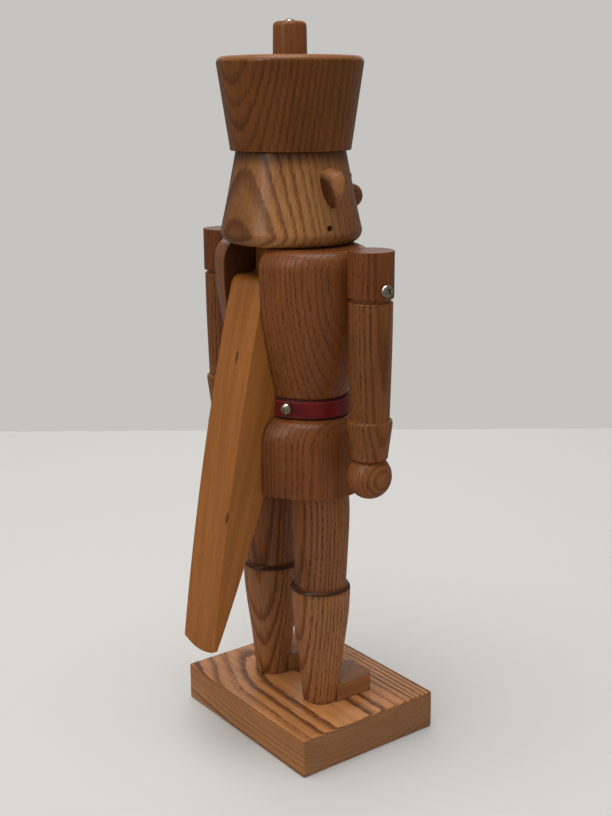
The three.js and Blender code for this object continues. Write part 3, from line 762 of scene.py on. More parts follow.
@dataclass(frozen=True)
class PlainWood:
    """Fine plain wood such as beech, planed and varnished: soft stripes, short flecks and slow clouds."""

    name: str
    light: str
    dark: str
    fleck: str
    lean: float = 0.0  # degrees that the fibres lean back from upright
    fleck_width: float = 0.4
    fleck_length: float = 2.4
    gloss: float = 0.3
    shine: float = 0.25
    knots: tuple[Triple, ...] = ()  # dark streaks, as points in millimetres
    knot_size: Pair = (1.3, 4.5)  # half-width across and half-length along the fibres
    knot_tone: str = "#3a1a08"

    def material(self) -> Material:
        """Builds the wood.

        Returns:
            The material.
        """
        turn = Matrix.Rotation(math.radians(self.lean), 3, "X")
        steps = [
            *fibre_fields({
                "flecks": (self.fleck_width, self.fleck_length, 1.0),
                "fibres": (0.8, 45.0, 3.0),
                "bands": (4.5, 140.0, 2.0),
                "clouds": (60.0, 120.0, 2.0),
                "ragged": (0.8, 2.5, 2.0),
            }),
            ramp("fleck_share", "flecks", 0.58, 0.72, 0.0, 0.35),
            ramp("fibre_tone", "fibres", 0.3, 0.7, 0.93, 1.06),
            ramp("band_share", "bands", 0.35, 0.65, 0.0, 0.8),
            ramp("cloud_tone", "clouds", 0.3, 0.7, 0.88, 1.1),
            ramp("rough", "fibres", 0.0, 1.0, self.gloss - 0.05, self.gloss + 0.08),
            tinted("banded", "band_share", self.light, self.dark),
            tinted("flecked", "fleck_share", "banded", self.fleck),
            calc("tone", "MULTIPLY", "fibre_tone", "cloud_tone"),
            scaled("colour", "flecked", "tone"),
            Step("bump", BUMP, {"Strength": 0.12, "Distance": 0.2 * MM, "Height": "fibres"}),
        ]
        wide, long = self.knot_size
        for knot in self.knots:
            steps += [
                vector("knot_from", "SUBTRACT", "place", tuple(turn @ Vector(knot))),
                vector("knot_scaled", "MULTIPLY", "knot_from", (1 / wide, 1 / wide, 1 / long)),
                vector("knot_far", "LENGTH", "knot_scaled"),
                calc("knot_edge", "MULTIPLY_ADD", "ragged", 1.2, "knot_far"),
                ramp("knot_share", "knot_edge", 0.9, 1.7, 0.85, 0.0),
                tinted("colour", "knot_share", "colour", self.knot_tone),
            ]
        return finished(self.name, steps, self.shine, turn)


@dataclass(frozen=True)
class DyedLeather:
    """Smooth calf leather, dyed red through and glazed: a fine pebble, rubbed patches, darker borders and a
    painted highlight along each crease.
    """

    name: str = "dyed_calf_leather"
    red: str = "#741517"
    dark: str = "#430b0c"
    border: str = "#35090b"
    worn: str = "#9a4a3c"  # painted highlight along the crease
    pebble: float = 0.5  # millimetres across a grain of the hide, drawn twice as coarse as life to show
    middle: float = 0.0  # height of the strap's middle
    half: float = 4.5  # half its width
    border_width: float = 1.0
    patch: float = 7.0  # millimetres across a rubbed patch
    rub: float = 1.6  # millimetres between the spots that break up the crease's painted highlight
    shine: float = 0.2

    def material(self) -> Material:
        """Builds the leather.

        Returns:
            The material.
        """
        crease = self.half - self.border_width
        return finished(self.name, [
            Step("up", SEPARATE, {0: "millimetres"}, {}, 2),
            calc("above", "SUBTRACT", "up", self.middle),
            calc("from_middle", "ABSOLUTE", "above"),
            Step("grain", "ShaderNodeTexVoronoi", {"Vector": "millimetres", "Scale": 1 / self.pebble}),
            Step("patches", NOISE, {"Vector": "millimetres", "Scale": 1 / self.patch, "Detail": 4.0}),
            Step("sheen_spots", NOISE, {"Vector": "millimetres", "Scale": 1 / self.rub, "Detail": 3.0}),
            ramp("patch_share", "patches", 0.35, 0.75, 0.0, 0.7, soft=False),
            tinted("dyed", "patch_share", self.red, self.dark),
            ramp("edge_share", "from_middle", crease - 0.1, crease + 0.5, 0.0, 0.8),
            tinted("edged", "edge_share", "dyed", self.border),
            # painted highlight: a paler line just inside each crease, broken into spots
            ramp("line_up", "from_middle", crease - 0.55, crease - 0.2),
            ramp("line_down", "from_middle", crease - 0.15, crease + 0.2, 0.55, 0.0),
            calc("line", "MULTIPLY", "line_up", "line_down"),
            calc("sheen_share", "MULTIPLY", "line", "sheen_spots"),
            tinted("colour", "sheen_share", "edged", self.worn),
            Step("bump", BUMP, {"Strength": 0.3, "Distance": 0.12 * MM, "Height": "grain"}),
            ramp("rough", "patches", 0.0, 1.0, 0.3, 0.5, soft=False),
        ], self.shine)


@dataclass(frozen=True)
class PlatedSteel:
    """Nickel-plated steel, pressed and barrel-polished: grey and bright, with small dull spots."""

    name: str = "nickel_plated_steel"
    bright: str = "#e6e0d2"
    dull: str = "#9a9384"
    spot: float = 0.7  # millimetres across a dull spot
    shine: float = 0.5

    def material(self) -> Material:
        """Builds the metal.

        Returns:
            The material.
        """
        return finished(self.name, [
            Step("spots", NOISE, {"Vector": "object", "Scale": 1 / (self.spot * MM), "Detail": 3.0}),
            tinted("colour", "spots", self.bright, self.dull),
            ramp("rough", "spots", 0.0, 1.0, 0.12, 0.34, soft=False),
        ], self.shine, metal=1.0)


# Sub-assemblies


@dataclass
class Board:
    """The board that the figure stands on, with its edges eased and two countersunk holes below."""

    ease: float = 0.9
    corner: float = 1.0
    hole_radius: float = 4.3
    hole_depth: float = 0.5
    cone_depth: float = 3.0
    shank_radius: float = 1.8
    steps: int = 6
    pith_shift: float = 10.0  # how far behind the board's middle its rings are laid out
    side_drop: float = 1.4  # from the top to where the sides' quieter figure begins
    low: Array = field(init=False)
    high: Array = field(init=False)

    def __post_init__(self) -> None:
        """Takes the board's place from the frame."""
        self.low, self.high = box_mm("base_plate")

    def build(self) -> Piece:
        """A rounded rectangle carried up the board's edge profile, closed above and below, then drilled.

        Returns:
            The board.
        """
        quarter = np.radians(np.linspace(0, 90, self.steps + 1))
        angle = np.concatenate([quarter + k * math.pi / 2 for k in range(4)])
        sign = np.repeat([[1, 1], [-1, 1], [-1, -1], [1, -1]], len(quarter), axis=0)
        middle = middle_mm("base_plate")
        half = (self.high - self.low)[:2] / 2 - self.corner
        lower = arc((-self.ease, self.low[2] + self.ease), (self.ease,) * 2, -90, 0, self.steps)
        upper = arc((-self.ease, self.high[2] - self.ease), (self.ease,) * 2, 0, 90, self.steps)
        profile = np.vstack([lower, upper])
        reach = self.corner + profile[:, :1]
        ring = sign * half + reach[..., None] * np.stack([np.cos(angle), np.sin(angle)], axis=1)
        grid = raised(ring + middle[:2], profile[:, 1:])
        ends = [grid[k] * 0 + [*middle[:2], grid[k, 0, 2]] for k in (0, -1)]
        board = skin("base_board", np.concatenate([ends[:1], grid, ends[1:]]))
        top = 2 * self.high[2]
        drill = np.array([
            (0, -1), (self.hole_radius, -1), (self.hole_radius, self.hole_depth),
            (self.shank_radius, self.hole_depth + self.cone_depth), (self.shank_radius, top), (0, top),
        ])
        cutters = []
        for side in Side:
            axis = upright(f"{side.word}_leg_screw", self.low[2])
            cutters.append(skin(f"{side.word}_drill", turned(drill, axis, DRILL_SIDES)))
        return carve(board, cutters)

    def dress(self, board: Piece) -> None:
        """Gives the board its boldly banded wood, with a quieter figure on the sides.

        Args:
            board: the finished board.
        """
        quiet = Stain(self.low[2] - BEYOND, self.high[2] - self.side_drop, "#9a6a44", 1.0, strength=0.42)
        wood = RingWood(
            name="banded_board", light="#b67b4a", dark="#6b3e23", pore="#4a2814", ring=1.4, pith=94.5,
            bearing=-90.0, grain=Grain.ACROSS, wander=1.0, uneven=0.35, early=0.6, band=1.0, pores=0.35,
            luck=(0.3, 1.1), bow=(5.0, 58.0, 3.0), offset=-9.5, crowding=-1.4, cloud=0.18, pore_width=0.45,
            pore_length=4.0, figure_length=140.0, veil=1.0, end_tone="#6f523b", seed=1.3, stains=(quiet,),
        )
        middle = middle_mm("base_plate") + [0.0, self.pith_shift, 0.0]
        settle(board, "figure", wood.material(middle), ["base_plate"])


@dataclass
class Leg:
    """One turned leg, drawn from its foot, with a burnt boot edge, and the toe block in front of it."""

    side: Side
    bearing: float
    seed: float
    boot_height: float = 58.0
    ring_height: float = 2.5
    ankle: float = 8.8
    calf: Pair = (10.5, 19.0)
    shin: Pair = (13.6, 44.0)
    boot: float = 14.4
    knee: float = 12.3
    thigh: float = 13.9
    thigh_drop: float = 15.0
    hip: float = 13.4
    foot_corner: float = 3.0
    foot_ease: float = 0.5
    foot_fit: float = 0.2  # between the ankle and the toe block's hollow
    sole_ease: float = 0.4
    char: Pair = (0.7, 0.1)  # from the boot ring's lower and upper edge to its burnt band
    axis: Array = field(init=False)
    length: float = field(init=False)

    def __post_init__(self) -> None:
        """Takes the leg's axis and length from the frame."""
        low, high = box_mm(f"{self.side.word}_leg")
        self.axis = upright(f"{self.side.word}_leg", low[2])
        self.length = high[2] - low[2]

    def build_leg(self) -> Piece:
        """The leg's profile carried round its axis.

        Returns:
            The leg.
        """
        boot_top = self.boot_height + self.ring_height
        foot = eased([(0, 0, 0), (self.ankle, 0, self.sole_ease), (self.ankle + 0.02, 1.0, 0)])
        boot = spline([(self.ankle, 0), self.calf, self.shin, (self.boot, self.boot_height)], 70)
        shoulder = arc((self.knee, self.boot_height), (self.boot - self.knee, self.ring_height), 0, 84, 10)
        thigh = (self.thigh, self.length - self.thigh_drop)
        upper = spline([(self.knee, boot_top), thigh, (self.hip, self.length)], 46)
        profile = np.vstack([foot, boot[2:], shoulder[1:], upper, [(0, self.length)]])
        return skin(f"{self.side.word}_turned_leg", turned(profile, self.axis))

    def build_foot(self) -> Piece:
        """The toe block: a plan outline, hollowed to the ankle, carried up an eased edge.

        Returns:
            The toe block.
        """
        low, high = box_mm(f"{self.side.word}_foot")
        half = (high[0] - low[0]) / 2
        toe, back = low[1] - self.axis[1], high[1] - self.axis[1]
        corner = self.foot_corner
        hollow = self.ankle + self.foot_fit
        spread = math.degrees(math.acos(-back / hollow)) if -back < hollow else 90.0
        front = [
            arc((corner - half, toe + corner), (corner,) * 2, 180, 270, 8),
            arc((half - corner, toe + corner), (corner,) * 2, 270, 360, 8),
        ]
        bite = arc((0, 0), (hollow,) * 2, 270 + spread, 270 - spread, 28)
        sides = [np.array([[half, back]]), np.array([[-half, back]])]
        outline = np.vstack([*front, sides[0], bite, sides[1]])
        middle = outline.mean(axis=0)
        inward = middle - outline
        inward /= np.linalg.norm(inward, axis=1, keepdims=True)
        rise = arc((0, high[2] - low[2] - self.foot_ease), (1, self.foot_ease), 0, 90, 5)
        inset = np.concatenate([[0.0], self.foot_ease * (1 - rise[:, 0])])
        height = np.concatenate([[0.0], rise[:, 1]]) + low[2]
        plan = outline + inward * inset[:, None, None] + self.axis[:2]
        return skin(f"{self.side.word}_toe_block", raised(plan, height[:, None]), capped=True)

    def dress(self, leg: Piece, foot: Piece) -> None:
        """Gives the leg its fine dashed wood, burnt ring and painted shade above the ring, and the toe block
        its striped wood.

        Args:
            leg: the turned leg.
            foot: its toe block.
        """
        word = self.side.word
        ring_low = self.axis[2] + self.boot_height
        ring_high = ring_low + self.ring_height
        wood = RingWood(
            name=f"{word}_leg_wood", light="#9c673f", dark="#754524", pore="#4c2108", ring=1.9, pith=46.0,
            bearing=self.bearing, wander=1.8, uneven=0.4, cloud=0.16, band=0.4, arch=0.95, pores=0.9,
            pore_length=1.8, luck=(0.5, 1.1), seed=self.seed,
            stains=(
                # painted shade: the leg above the boot ring is darkened, so the boot below reads lighter
                # where light from above and off the floor falls
                Stain(ring_low, ring_low + BEYOND, "#dcd2cd", 2.0, blend=Blend.SHADE),
                Stain(ring_low + self.char[0], ring_high - self.char[1], "#452615", 0.3),
            ),
        )
        middle = self.axis + [0, 0, self.length / 2]
        settle(leg, "figure", wood.material(middle), [f"{word}_leg"])
        toe = RingWood(
            name=f"{word}_toe_wood", light="#96643c", dark="#52301a", pore="#3a1d0d", ring=1.25, pith=40.0,
            bearing=90.0, grain=Grain.FORWARD, wander=1.5, uneven=0.3, early=0.7, band=0.9, pores=0.3,
            seed=self.seed + 4, cloud=0.12, shine=0.2, luck=(0.7, 1.1),
        )
        node = f"{word}_foot"
        settle(foot, "figure", toe.material(middle_mm(node)), [node])


@dataclass
class Trunk:
    """The oval trunk in two halves beside the lever's slot, and the block that joins them in front."""

    slot_side: float = 13.7
    skirt_height: float = 36.2
    skirt_shoulder: float = 12.0
    skirt: Pair = (39.2, 30.0)
    waist: Pair = (33.3, 22.6)
    chest: Pair = (46.5, 29.9)
    chest_round: float = 9.0
    chest_inset: float = 6.0
    belt_width: float = 9.7
    groove: float = 1.8
    belt_stand: float = 1.0  # how far the belt stands proud of the waist
    edge: float = 0.9  # rounding beside the slot
    hem: float = 0.6
    char: float = 0.4  # how deep the painted shade on the slot's walls reaches
    axis: Array = field(init=False)
    height: float = field(init=False)

    def __post_init__(self) -> None:
        """Takes the trunk's axis and height from the frame."""
        low, high = box_mm("right_torso_half")
        self.axis = upright("hat", low[2])
        self.height = high[2] - low[2]

    def ovals(self) -> Array:
        """Half-sizes by height: the skirt with its round top, the belt's groove, the swelling chest.

        Returns:
            Rows of [height, half-width, half-depth].
        """
        skirt, chest = np.array(self.skirt), np.array(self.chest)
        waist = np.array(self.waist) - self.belt_stand
        groove = np.array(self.waist) - self.groove
        belt_top = self.skirt_height + self.belt_width
        chest_line = self.height - self.chest_round
        hem = arc((-self.hem, self.hem), (self.hem,) * 2, -90, 0, 4)
        hem_rows = np.column_stack([hem[:, 1], skirt + hem[:, :1]])
        round_top = arc((0, self.skirt_height - self.skirt_shoulder), (1, self.skirt_shoulder), 0, 90, 18)
        skirt_rows = np.column_stack([round_top[:, 1], waist + (skirt - waist) * round_top[:, :1]])
        groove_rows = np.array([[self.skirt_height, *groove], [belt_top, *groove]])
        share = np.linspace(0, 1, 44)[:, None]
        swell = np.sin(share * math.pi / 2)
        chest_rows = np.hstack([belt_top + (chest_line - belt_top) * share, waist + (chest - waist) * swell])
        top = arc((-self.chest_inset, chest_line), (self.chest_inset, self.chest_round), 0, 90, 18)[1:]
        top_rows = np.column_stack([top[:, 1], chest + top[:, :1]])
        return np.vstack([hem_rows, skirt_rows, groove_rows, chest_rows, top_rows])

    def build_half(self, side: Side) -> Piece:
        """One half: at each height an oval's arc and the slot's flat wall, with a soft corner between them.

        Args:
            side: which half.

        Returns:
            The half.
        """
        height, wide, deep = (column[:, None] for column in self.ovals().T)
        meet = np.arccos(self.slot_side / wide)
        shift = self.edge / np.hypot(wide * np.sin(meet), deep * np.cos(meet))
        angle = (meet - shift) * np.linspace(-1, 1, 72)
        outside = np.dstack([wide * np.cos(angle), deep * np.sin(angle)])
        corner = np.dstack([0 * meet + self.slot_side, deep * np.sin(meet)])[:, 0]
        wall = np.dstack([0 * meet + self.slot_side, deep * np.sin(meet) - self.edge])[:, 0]
        t = np.broadcast_to(np.linspace(0, 1, 7)[1:], (len(height), 6))
        rounds = bezier(outside[:, -1:, :], corner[:, None], wall[:, None], t)
        across = np.linspace(1, -1, 14)[None, 1:-1, None] * [[[0.0, 1.0]]]
        flat = wall[:, None] * [1.0, 0.0] + across * wall[:, None]
        mirrored = rounds[:, ::-1] * [1.0, -1.0]
        section = np.concatenate([outside, rounds, flat, mirrored], axis=1) * [side.value, 1.0]
        middle = section.mean(axis=1, keepdims=True)
        ends = [np.broadcast_to(middle[k], section[k].shape) for k in (0, -1)]
        plan = np.concatenate([ends[:1], section, ends[1:]])
        rise = np.vstack([height[:1], height, height[-1:]])
        return skin(f"{side.word}_trunk_half", raised(plan, rise) + self.axis)

    def build_front(self) -> Piece:
        """The block between the halves: at each height the oval's front between them and a flat back.

        Returns:
            The block.
        """
        low, high = box_mm("torso_front")
        rows = self.ovals()
        top = high[2] - self.axis[2]
        height = np.append(rows[rows[:, 0] < top][:, 0], top)
        wide, deep = (np.interp(height, rows[:, 0], rows[:, k])[:, None] for k in (1, 2))
        x = np.linspace(low[0], high[0], 30)[None]
        front = np.dstack([x + 0 * wide, -deep * np.sqrt(1 - (x / wide) ** 2)])
        back = np.dstack([x[:, ::-1] + 0 * wide, 0 * x + 0 * wide + high[1] - self.axis[1]])
        plan = np.concatenate([front, back], axis=1)
        return skin("trunk_front_block", raised(plan, height[:, None]) + self.axis, capped=True)

    def dress(self, halves: dict[Side, Piece], front: Piece) -> None:
        """Gives the three pieces wood from neighbouring blanks, with painted shade on the slot's walls.

        Args:
            halves: the trunk's two halves.
            front: the block between them.
        """
        middle = self.axis + [0, 0, self.height / 2]
        tones = {"light": "#7a4520", "dark": "#613414", "pore": "#431b05"}
        for side, half in halves.items():
            wall = self.axis[0] + side.value * self.slot_side
            # painted shade: the slot's walls are darkened where the slot lies in shadow
            walls = Stain(wall - self.char, wall + self.char, "#2c170b", 0.2, (1.0, 0.0, 0.0), 0.75)
            wood = RingWood(
                name=f"{side.word}_trunk_wood", **tones, ring=2.2, pith=150.0,
                bearing=90.0 - 94.0 * side.value, wander=3.0, uneven=0.4, seed=2.0 + side.value, cloud=0.16,
                band=0.35, pores=0.72, pore_width=0.34, stains=(walls,),
            )
            settle(half, "figure", wood.material(middle), [f"{side.word}_torso_half"])
        wood = RingWood(name="trunk_front_wood", **tones, ring=1.8, pith=80.0, bearing=-90.0, seed=6.0)
        settle(front, "figure", wood.material(middle), ["torso_front"])


@dataclass
class Belt:
    """A leather strap round the waist, open across the slot, with a crease along each edge."""

    trunk: Trunk
    thickness: float = 1.5
    width: float = 9.1
    end_margin: float = 0.5
    screw_inset: float = 5.6
    round: float = 0.55
    crease: float = 0.9  # from the strap's edge to its crease
    crease_depth: float = 0.22
    crease_width: float = 0.22

    def section(self) -> Array:
        """The strap's cut: a rectangle with round corners, creased on its outer face.

        Returns:
            Points of [outwards, up] from the middle of the strap's inner face.
        """
        half = self.width / 2
        r = self.round
        rise = np.linspace(r - half, half - r, 60)
        from_crease = [rise - s * (half - self.crease) for s in (-1, 1)]
        dip = sum(np.exp(-((far / self.crease_width) ** 2)) for far in from_crease)
        outer = np.column_stack([self.thickness - self.crease_depth * dip, rise])
        corners = [
            arc((self.thickness - r, half - r), (r, r), 0, 90, 6)[1:],
            arc((r, half - r), (r, r), 90, 180, 6),
            arc((r, r - half), (r, r), 180, 270, 6),
            arc((self.thickness - r, r - half), (r, r), 270, 360, 6)[:-1],
        ]
        return np.vstack([outer, *corners])

    def build(self) -> Piece:
        """The section carried round the waist's oval, square to it.

        Returns:
            The strap.
        """
        wide, deep = np.array(self.trunk.waist) - self.thickness
        end = math.acos((self.trunk.slot_side + self.end_margin) / wide)
        angle = np.linspace(math.pi - end, 2 * math.pi + end, 200)[:, None]
        line = np.dstack([wide * np.cos(angle), deep * np.sin(angle)])
        normal = np.dstack([np.cos(angle) / wide, np.sin(angle) / deep])
        normal /= np.linalg.norm(normal, axis=2, keepdims=True)
        section = self.section()
        plan = line + normal * section[None, :, :1]
        rise = np.broadcast_to(section[None, :, 1:], (*plan.shape[:2], 1)) + middle_mm("belt")[2]
        grid = np.concatenate([plan + self.trunk.axis[:2], rise], axis=2)
        return skin("leather_belt", grid, capped=True)

    def screw_place(self, side: Side) -> tuple[Array, Array]:
        """Where a belt screw's head sits and which way it looks.

        Args:
            side: which end of the belt.

        Returns:
            The point under the head and the direction out of the strap.
        """
        wide, deep = self.trunk.waist
        x = self.trunk.slot_side + self.end_margin + self.screw_inset
        y = deep * math.sqrt(1 - (x / wide) ** 2)
        direction = np.array([side.value * x / wide**2, y / deep**2, 0.0])
        direction /= np.linalg.norm(direction)
        point = np.array([side.value * x, self.trunk.axis[1] + y, middle_mm("belt")[2]])
        return point + direction * SEAT, direction

    def dress(self, strap: Piece) -> None:
        """Gives the strap its red leather."""
        leather = DyedLeather(middle=middle_mm("belt")[2], half=self.width / 2)
        settle(strap, "figure", leather.material(), ["belt"])


@dataclass
class Head:
    """The turned head with its jaw slot, its ears, its nose and its eyes."""

    crown: float = 25.1
    jowl: float = 32.5
    round: float = 5.6
    sag: float = 0.2
    slot_side: float = Trunk.slot_side
    cut_below: float = 10.0  # how far the slot's cutters reach below the head
    jaw_gap: float = 4.8
    jaw_rise: float = 0.2
    boss: float = 6.8
    pin: float = 1.4
    ear_dome: float = 9.5
    ear_fullness: float = 0.9  # under 1 for a dome with a flatter middle
    ear_taper: float = 3.0
    ear_heart: float = 1.1  # from the ear's top to the middle of its dome, in half-widths
    ear_root: float = 1.0  # how far the ear reaches into the head
    ear_back: float = 0.5  # how far the painted shade on the ear's back flank reaches in from its edge
    nose_dome: float = 5.8
    eye_dome: float = 1.2
    shading: float = 53.0  # bearing of the line along which painted shade darkens the head's sides
    far_shade: float = 19.0  # from the axis to the shade at that line's far end
    near_shade: float = 21.0  # and to the one at its near end
    top_shade: float = 4.0  # how far the shade below the hat reaches down
    axis: Array = field(init=False)
    height: float = field(init=False)
    pivot: Array = field(init=False)
    slot_back: float = field(init=False)

    def __post_init__(self) -> None:
        """Takes the head's place, the pivot and the slot's depth from the frame."""
        low, high = box_mm("head")
        self.axis = upright("hat", low[2])
        self.height = high[2] - low[2]
        self.pivot = pivot_mm("jaw_lever_hinge")
        swing = math.radians(joint("jaw_lever_hinge")["range_deg"][1])
        rise = self.pivot[2] - self.axis[2]
        self.slot_back = self.pivot[1] + (Lever.neck + rise * math.sin(swing)) / math.cos(swing) + 2 * RUN

    def build_head(self) -> Piece:
        """The head's profile carried round, then cut for the jaw, the lever's boss and the pin.

        Returns:
            The head.
        """
        jowl = arc((self.jowl - self.round, self.round), (self.round,) * 2, -90, 0, 18)
        cheek = ((self.jowl + self.crown) / 2 - self.sag, (self.round + self.height) / 2)
        side = spline([(self.jowl, self.round), cheek, (self.crown, self.height)], 40)
        profile = np.vstack([[(0, 0)], jowl, side[1:], [(0, self.height)]])
        head = skin("turned_head", turned(profile, self.axis, WIDE_SIDES))
        mouth_top = self.pivot[2] + self.jaw_rise + self.jaw_gap
        boss_front, boss_top = self.pivot[1] - self.boss, self.pivot[2] + self.boss
        floor, front = self.axis[2] - self.cut_below, self.axis[1] - 2 * self.jowl
        s, back = self.slot_side, self.slot_back
        return carve(head, [
            block("mouth", [-s, front, floor], [s, back, mouth_top]),
            block("boss", [-s, boss_front, floor], [s, back - 0.01, boss_top]),
            pin_bore(self.pivot, self.pin, 3 * s),
        ])

    def build_ear(self, side: Side) -> Piece:
        """An ear: a drop, round above and pointed below, carried out of the head and closed by a dome.

        The dome at angle a: outline * cos(a)^fullness, standing out by dome * sin(a).

        Args:
            side: which ear.

        Returns:
            The ear.
        """
        low, high = box_mm(f"{side.word}_ear")
        half, tall = (high[1] - low[1]) / 2, high[2] - low[2]
        round_top = arc((0, tall - half), (half, half), 0, 180, 28)
        t = np.linspace(0, 1, 20)
        left = bezier((-half, tall - half), (-half, self.ear_taper), (0, 0), t)[1:]
        right = bezier((0, 0), (half, self.ear_taper), (half, tall - half), t)[1:-1]
        outline = np.vstack([round_top, left, right])
        heart = np.array([0.0, tall - half * self.ear_heart])
        climb = np.radians(np.linspace(0, 90, 18))
        share = np.concatenate([[1.0], np.cos(climb) ** self.ear_fullness])
        reach = max(abs(low[0]), abs(high[0]))
        inner = min(abs(low[0]), abs(high[0])) - self.ear_root
        out = np.concatenate([[inner], reach - self.ear_dome * (1 - np.sin(climb))])
        plan = heart + (outline - heart) * share[:, None, None]
        x = np.broadcast_to(side.value * out[:, None], plan.shape[:2])
        grid = np.dstack([x, plan[..., 0] + (low[1] + high[1]) / 2, plan[..., 1] + low[2]])
        return skin(f"{side.word}_drop_ear", grid, capped=True)

    def build_peg(self, name: str, node: str, dome: float) -> Piece:
        """A round-ended peg that looks forwards: the nose, or an eye.

        Args:
            name: the piece's name.
            node: the frame node that it stands for.
            dome: length of its round end.

        Returns:
            The peg.
        """
        low, high = box_mm(node)
        radius = (high[2] - low[2]) / 2
        length = high[1] - low[1]
        profile = np.vstack([
            [(0, 0)], [(radius, 0)], arc((0, length - dome), (radius, dome), 0, 90, 20)
        ])
        seat = np.array([(low[0] + high[0]) / 2, high[1], (low[2] + high[2]) / 2])
        return skin(name, aimed(turned(profile, np.zeros(3), PEG_SIDES), seat, np.array([0.0, -1.0, 0.0])))

    def dress(self, head: Piece, ears: dict[Side, Piece], nose: Piece, eyes: dict[Side, Piece]) -> None:
        """Gives the head its wide-ringed wood with painted shade on its sides and below the hat, and the
        pieces on it woods of their own, with painted shade on the ears' back flanks.

        Args:
            head: the turned head.
            ears: the two ears.
            nose: the nose's peg.
            eyes: the two eyes' pegs.
        """
        middle = self.axis + [0, 0, self.height / 2]
        top = self.axis[2] + self.height
        shading = math.radians(self.shading)
        slant = (math.cos(shading), math.sin(shading), 0.0)
        centre = float(self.axis @ slant)
        wood = RingWood(
            name="head_wood", light="#9a693d", dark="#6c3e1b", pore="#4a2610", ring=2.9, pith=62.0,
            bearing=93.0, slope=(-2.5, 0.0), wander=1.6, offset=0.3, luck=(0.8, 1.1), uneven=0.5, early=0.5,
            band=0.6, arch=0.9, pores=0.65, calm=0.4, seed=3.4, cloud=0.16,
            stains=(
                # painted shade on the head's two sides, darker towards each side along the shading line
                Stain(centre + self.far_shade, centre + BEYOND, "#c6b69d", 11.0, slant, blend=Blend.SHADE),
                Stain(centre - BEYOND, centre - self.near_shade, "#bcab9f", 8.0, slant, blend=Blend.SHADE),
                # painted shadow of the hat's brim on the top of the head
                Stain(top - self.top_shade, top + BEYOND, "#a89682", 4.0, blend=Blend.SHADE),
            ),
        )
        settle(head, "figure", wood.material(middle), ["head"])
        for side, ear in ears.items():
            low, high = box_mm(f"{side.word}_ear")
            half = (high[1] - low[1]) / 2
            taper = math.atan2(half, high[2] - low[2] - half)
            backward = (0.0, math.cos(taper), -math.sin(taper))
            edge = float(np.array([0.0, high[1], high[2] - half]) @ backward)
            # painted shade: the ear's back flank is darkened where it lies in shadow
            painted_ear_shade = Stain(edge - self.ear_back, edge + BEYOND, "#ab9786", 0.5, backward, blend=Blend.SHADE)
            wood = RingWood(
                name=f"{side.word}_ear_wood", light="#9c673e", dark="#8a5832", pore="#5a3018", ring=6.0,
                pith=40.0, bearing=180.0, grain=Grain.FORWARD, seed=5.0 + side.value, pores=0.15, wander=2.0,
                band=0.3, end_tone="#43240f", stains=(painted_ear_shade,),
            )
            settle(ear, "figure", wood.material(middle), [f"{side.word}_ear"])
        wood = RingWood(
            name="nose_wood", light="#6a3f20", dark="#5c3419", pore="#3a1c0e", ring=2.4, pith=30.0,
            bearing=0.0, grain=Grain.FORWARD, seed=9.0, pores=0.3, band=0.4,
        )
        settle(nose, "figure", wood.material(middle), ["nose"])
        peg = PlainWood("dark_peg_wood", "#2c1a10", "#1c0f08", "#140a05", gloss=0.34).material()
        for side, eye in eyes.items():
            settle(eye, "figure", peg, [f"{side.word}_eye"])


@dataclass
class Hat:
    """The flared hat and its knob, both turned."""

    brim: float = 27.5
    brim_ease: float = 0.5
    brim_rise: float = 1.2  # from the underside to where the flare begins
    brim_flare: float = 0.1  # how much wider the hat is there
    top: float = 33.0
    round: float = 3.0
    worn_edge: float = 1.9  # how far the painted highlight on the top edge reaches down
    knob_round: float = 2.2
    knob_taper: float = 0.2
    sink: Pair = (3.3, 1.2)  # radius and depth of the screw's seat

    def build_hat(self) -> Piece:
        """The hat's profile carried round: a flaring side, a rounded top edge and a barely crowned top.

        Returns:
            The hat.
        """
        low, high = box_mm("hat")
        height = high[2] - low[2]
        start, stop = (self.brim + self.brim_flare, self.brim_rise), (self.top, height - self.round)
        brim = eased([(0, 0, 0), (self.brim, 0, self.brim_ease), (*start, 0)])
        side = np.linspace(start, stop, 30)
        edge = arc((self.top - self.round, height - self.round), (self.round,) * 2, 0, 90, 14)
        profile = np.vstack([brim, side[1:], edge[1:], [(0, height)]])
        return skin("flared_hat", turned(profile, upright("hat", low[2]), WIDE_SIDES))

    def build_knob(self) -> Piece:
        """The knob's profile carried round.

        Returns:
            The knob.
        """
        low, high = box_mm("hat_knob")
        radius, height = (high[0] - low[0]) / 2, high[2] - low[2]
        crown = radius - self.knob_taper
        wide, deep = self.sink
        profile = np.vstack([
            [(0, 0), (radius, 0)],
            arc((crown - self.knob_round, height - self.knob_round), (self.knob_round,) * 2, 0, 90, 10),
            [(wide, height), (wide, height - deep), (0, height - deep)],
        ])
        return skin("turned_knob", turned(profile, upright("hat_knob", low[2]), SMALL_SIDES))

    def dress(self, hat: Piece, knob: Piece) -> None:
        """Gives the hat its dark wood with a painted highlight on its top and rounded top edge, and the knob
        its browner wood.

        Args:
            hat: the turned hat.
            knob: its knob.
        """
        _, high = box_mm("hat")
        # painted highlight: the top and its rounded edge are lightened where light from above and the
        # varnish's sheen fall
        worn = Stain(high[2] - self.worn_edge, high[2] + BEYOND, "#6c4932", 0.9, blend=Blend.TINT)
        wood = RingWood(
            name="hat_wood", light="#6c3e15", dark="#51290a", pore="#341807", ring=4.1, pith=52.0,
            bearing=94.0, slope=(2.0, 0.0), crowding=3.2, wander=1.6, uneven=0.5, early=0.55, band=0.7,
            pores=0.4, seed=7.7, cloud=0.12, calm=0.65, stains=(worn,),
        )
        settle(hat, "figure", wood.material(middle_mm("hat")), ["hat"])
        wood = RingWood(
            name="knob_wood", light="#8a5428", dark="#784720", pore="#4a2610", ring=3.0, pith=30.0,
            bearing=100.0, seed=8.2, pores=0.3, band=0.4, wander=3.0,
        )
        settle(knob, "figure", wood.material(middle_mm("hat_knob")), ["hat_knob"])


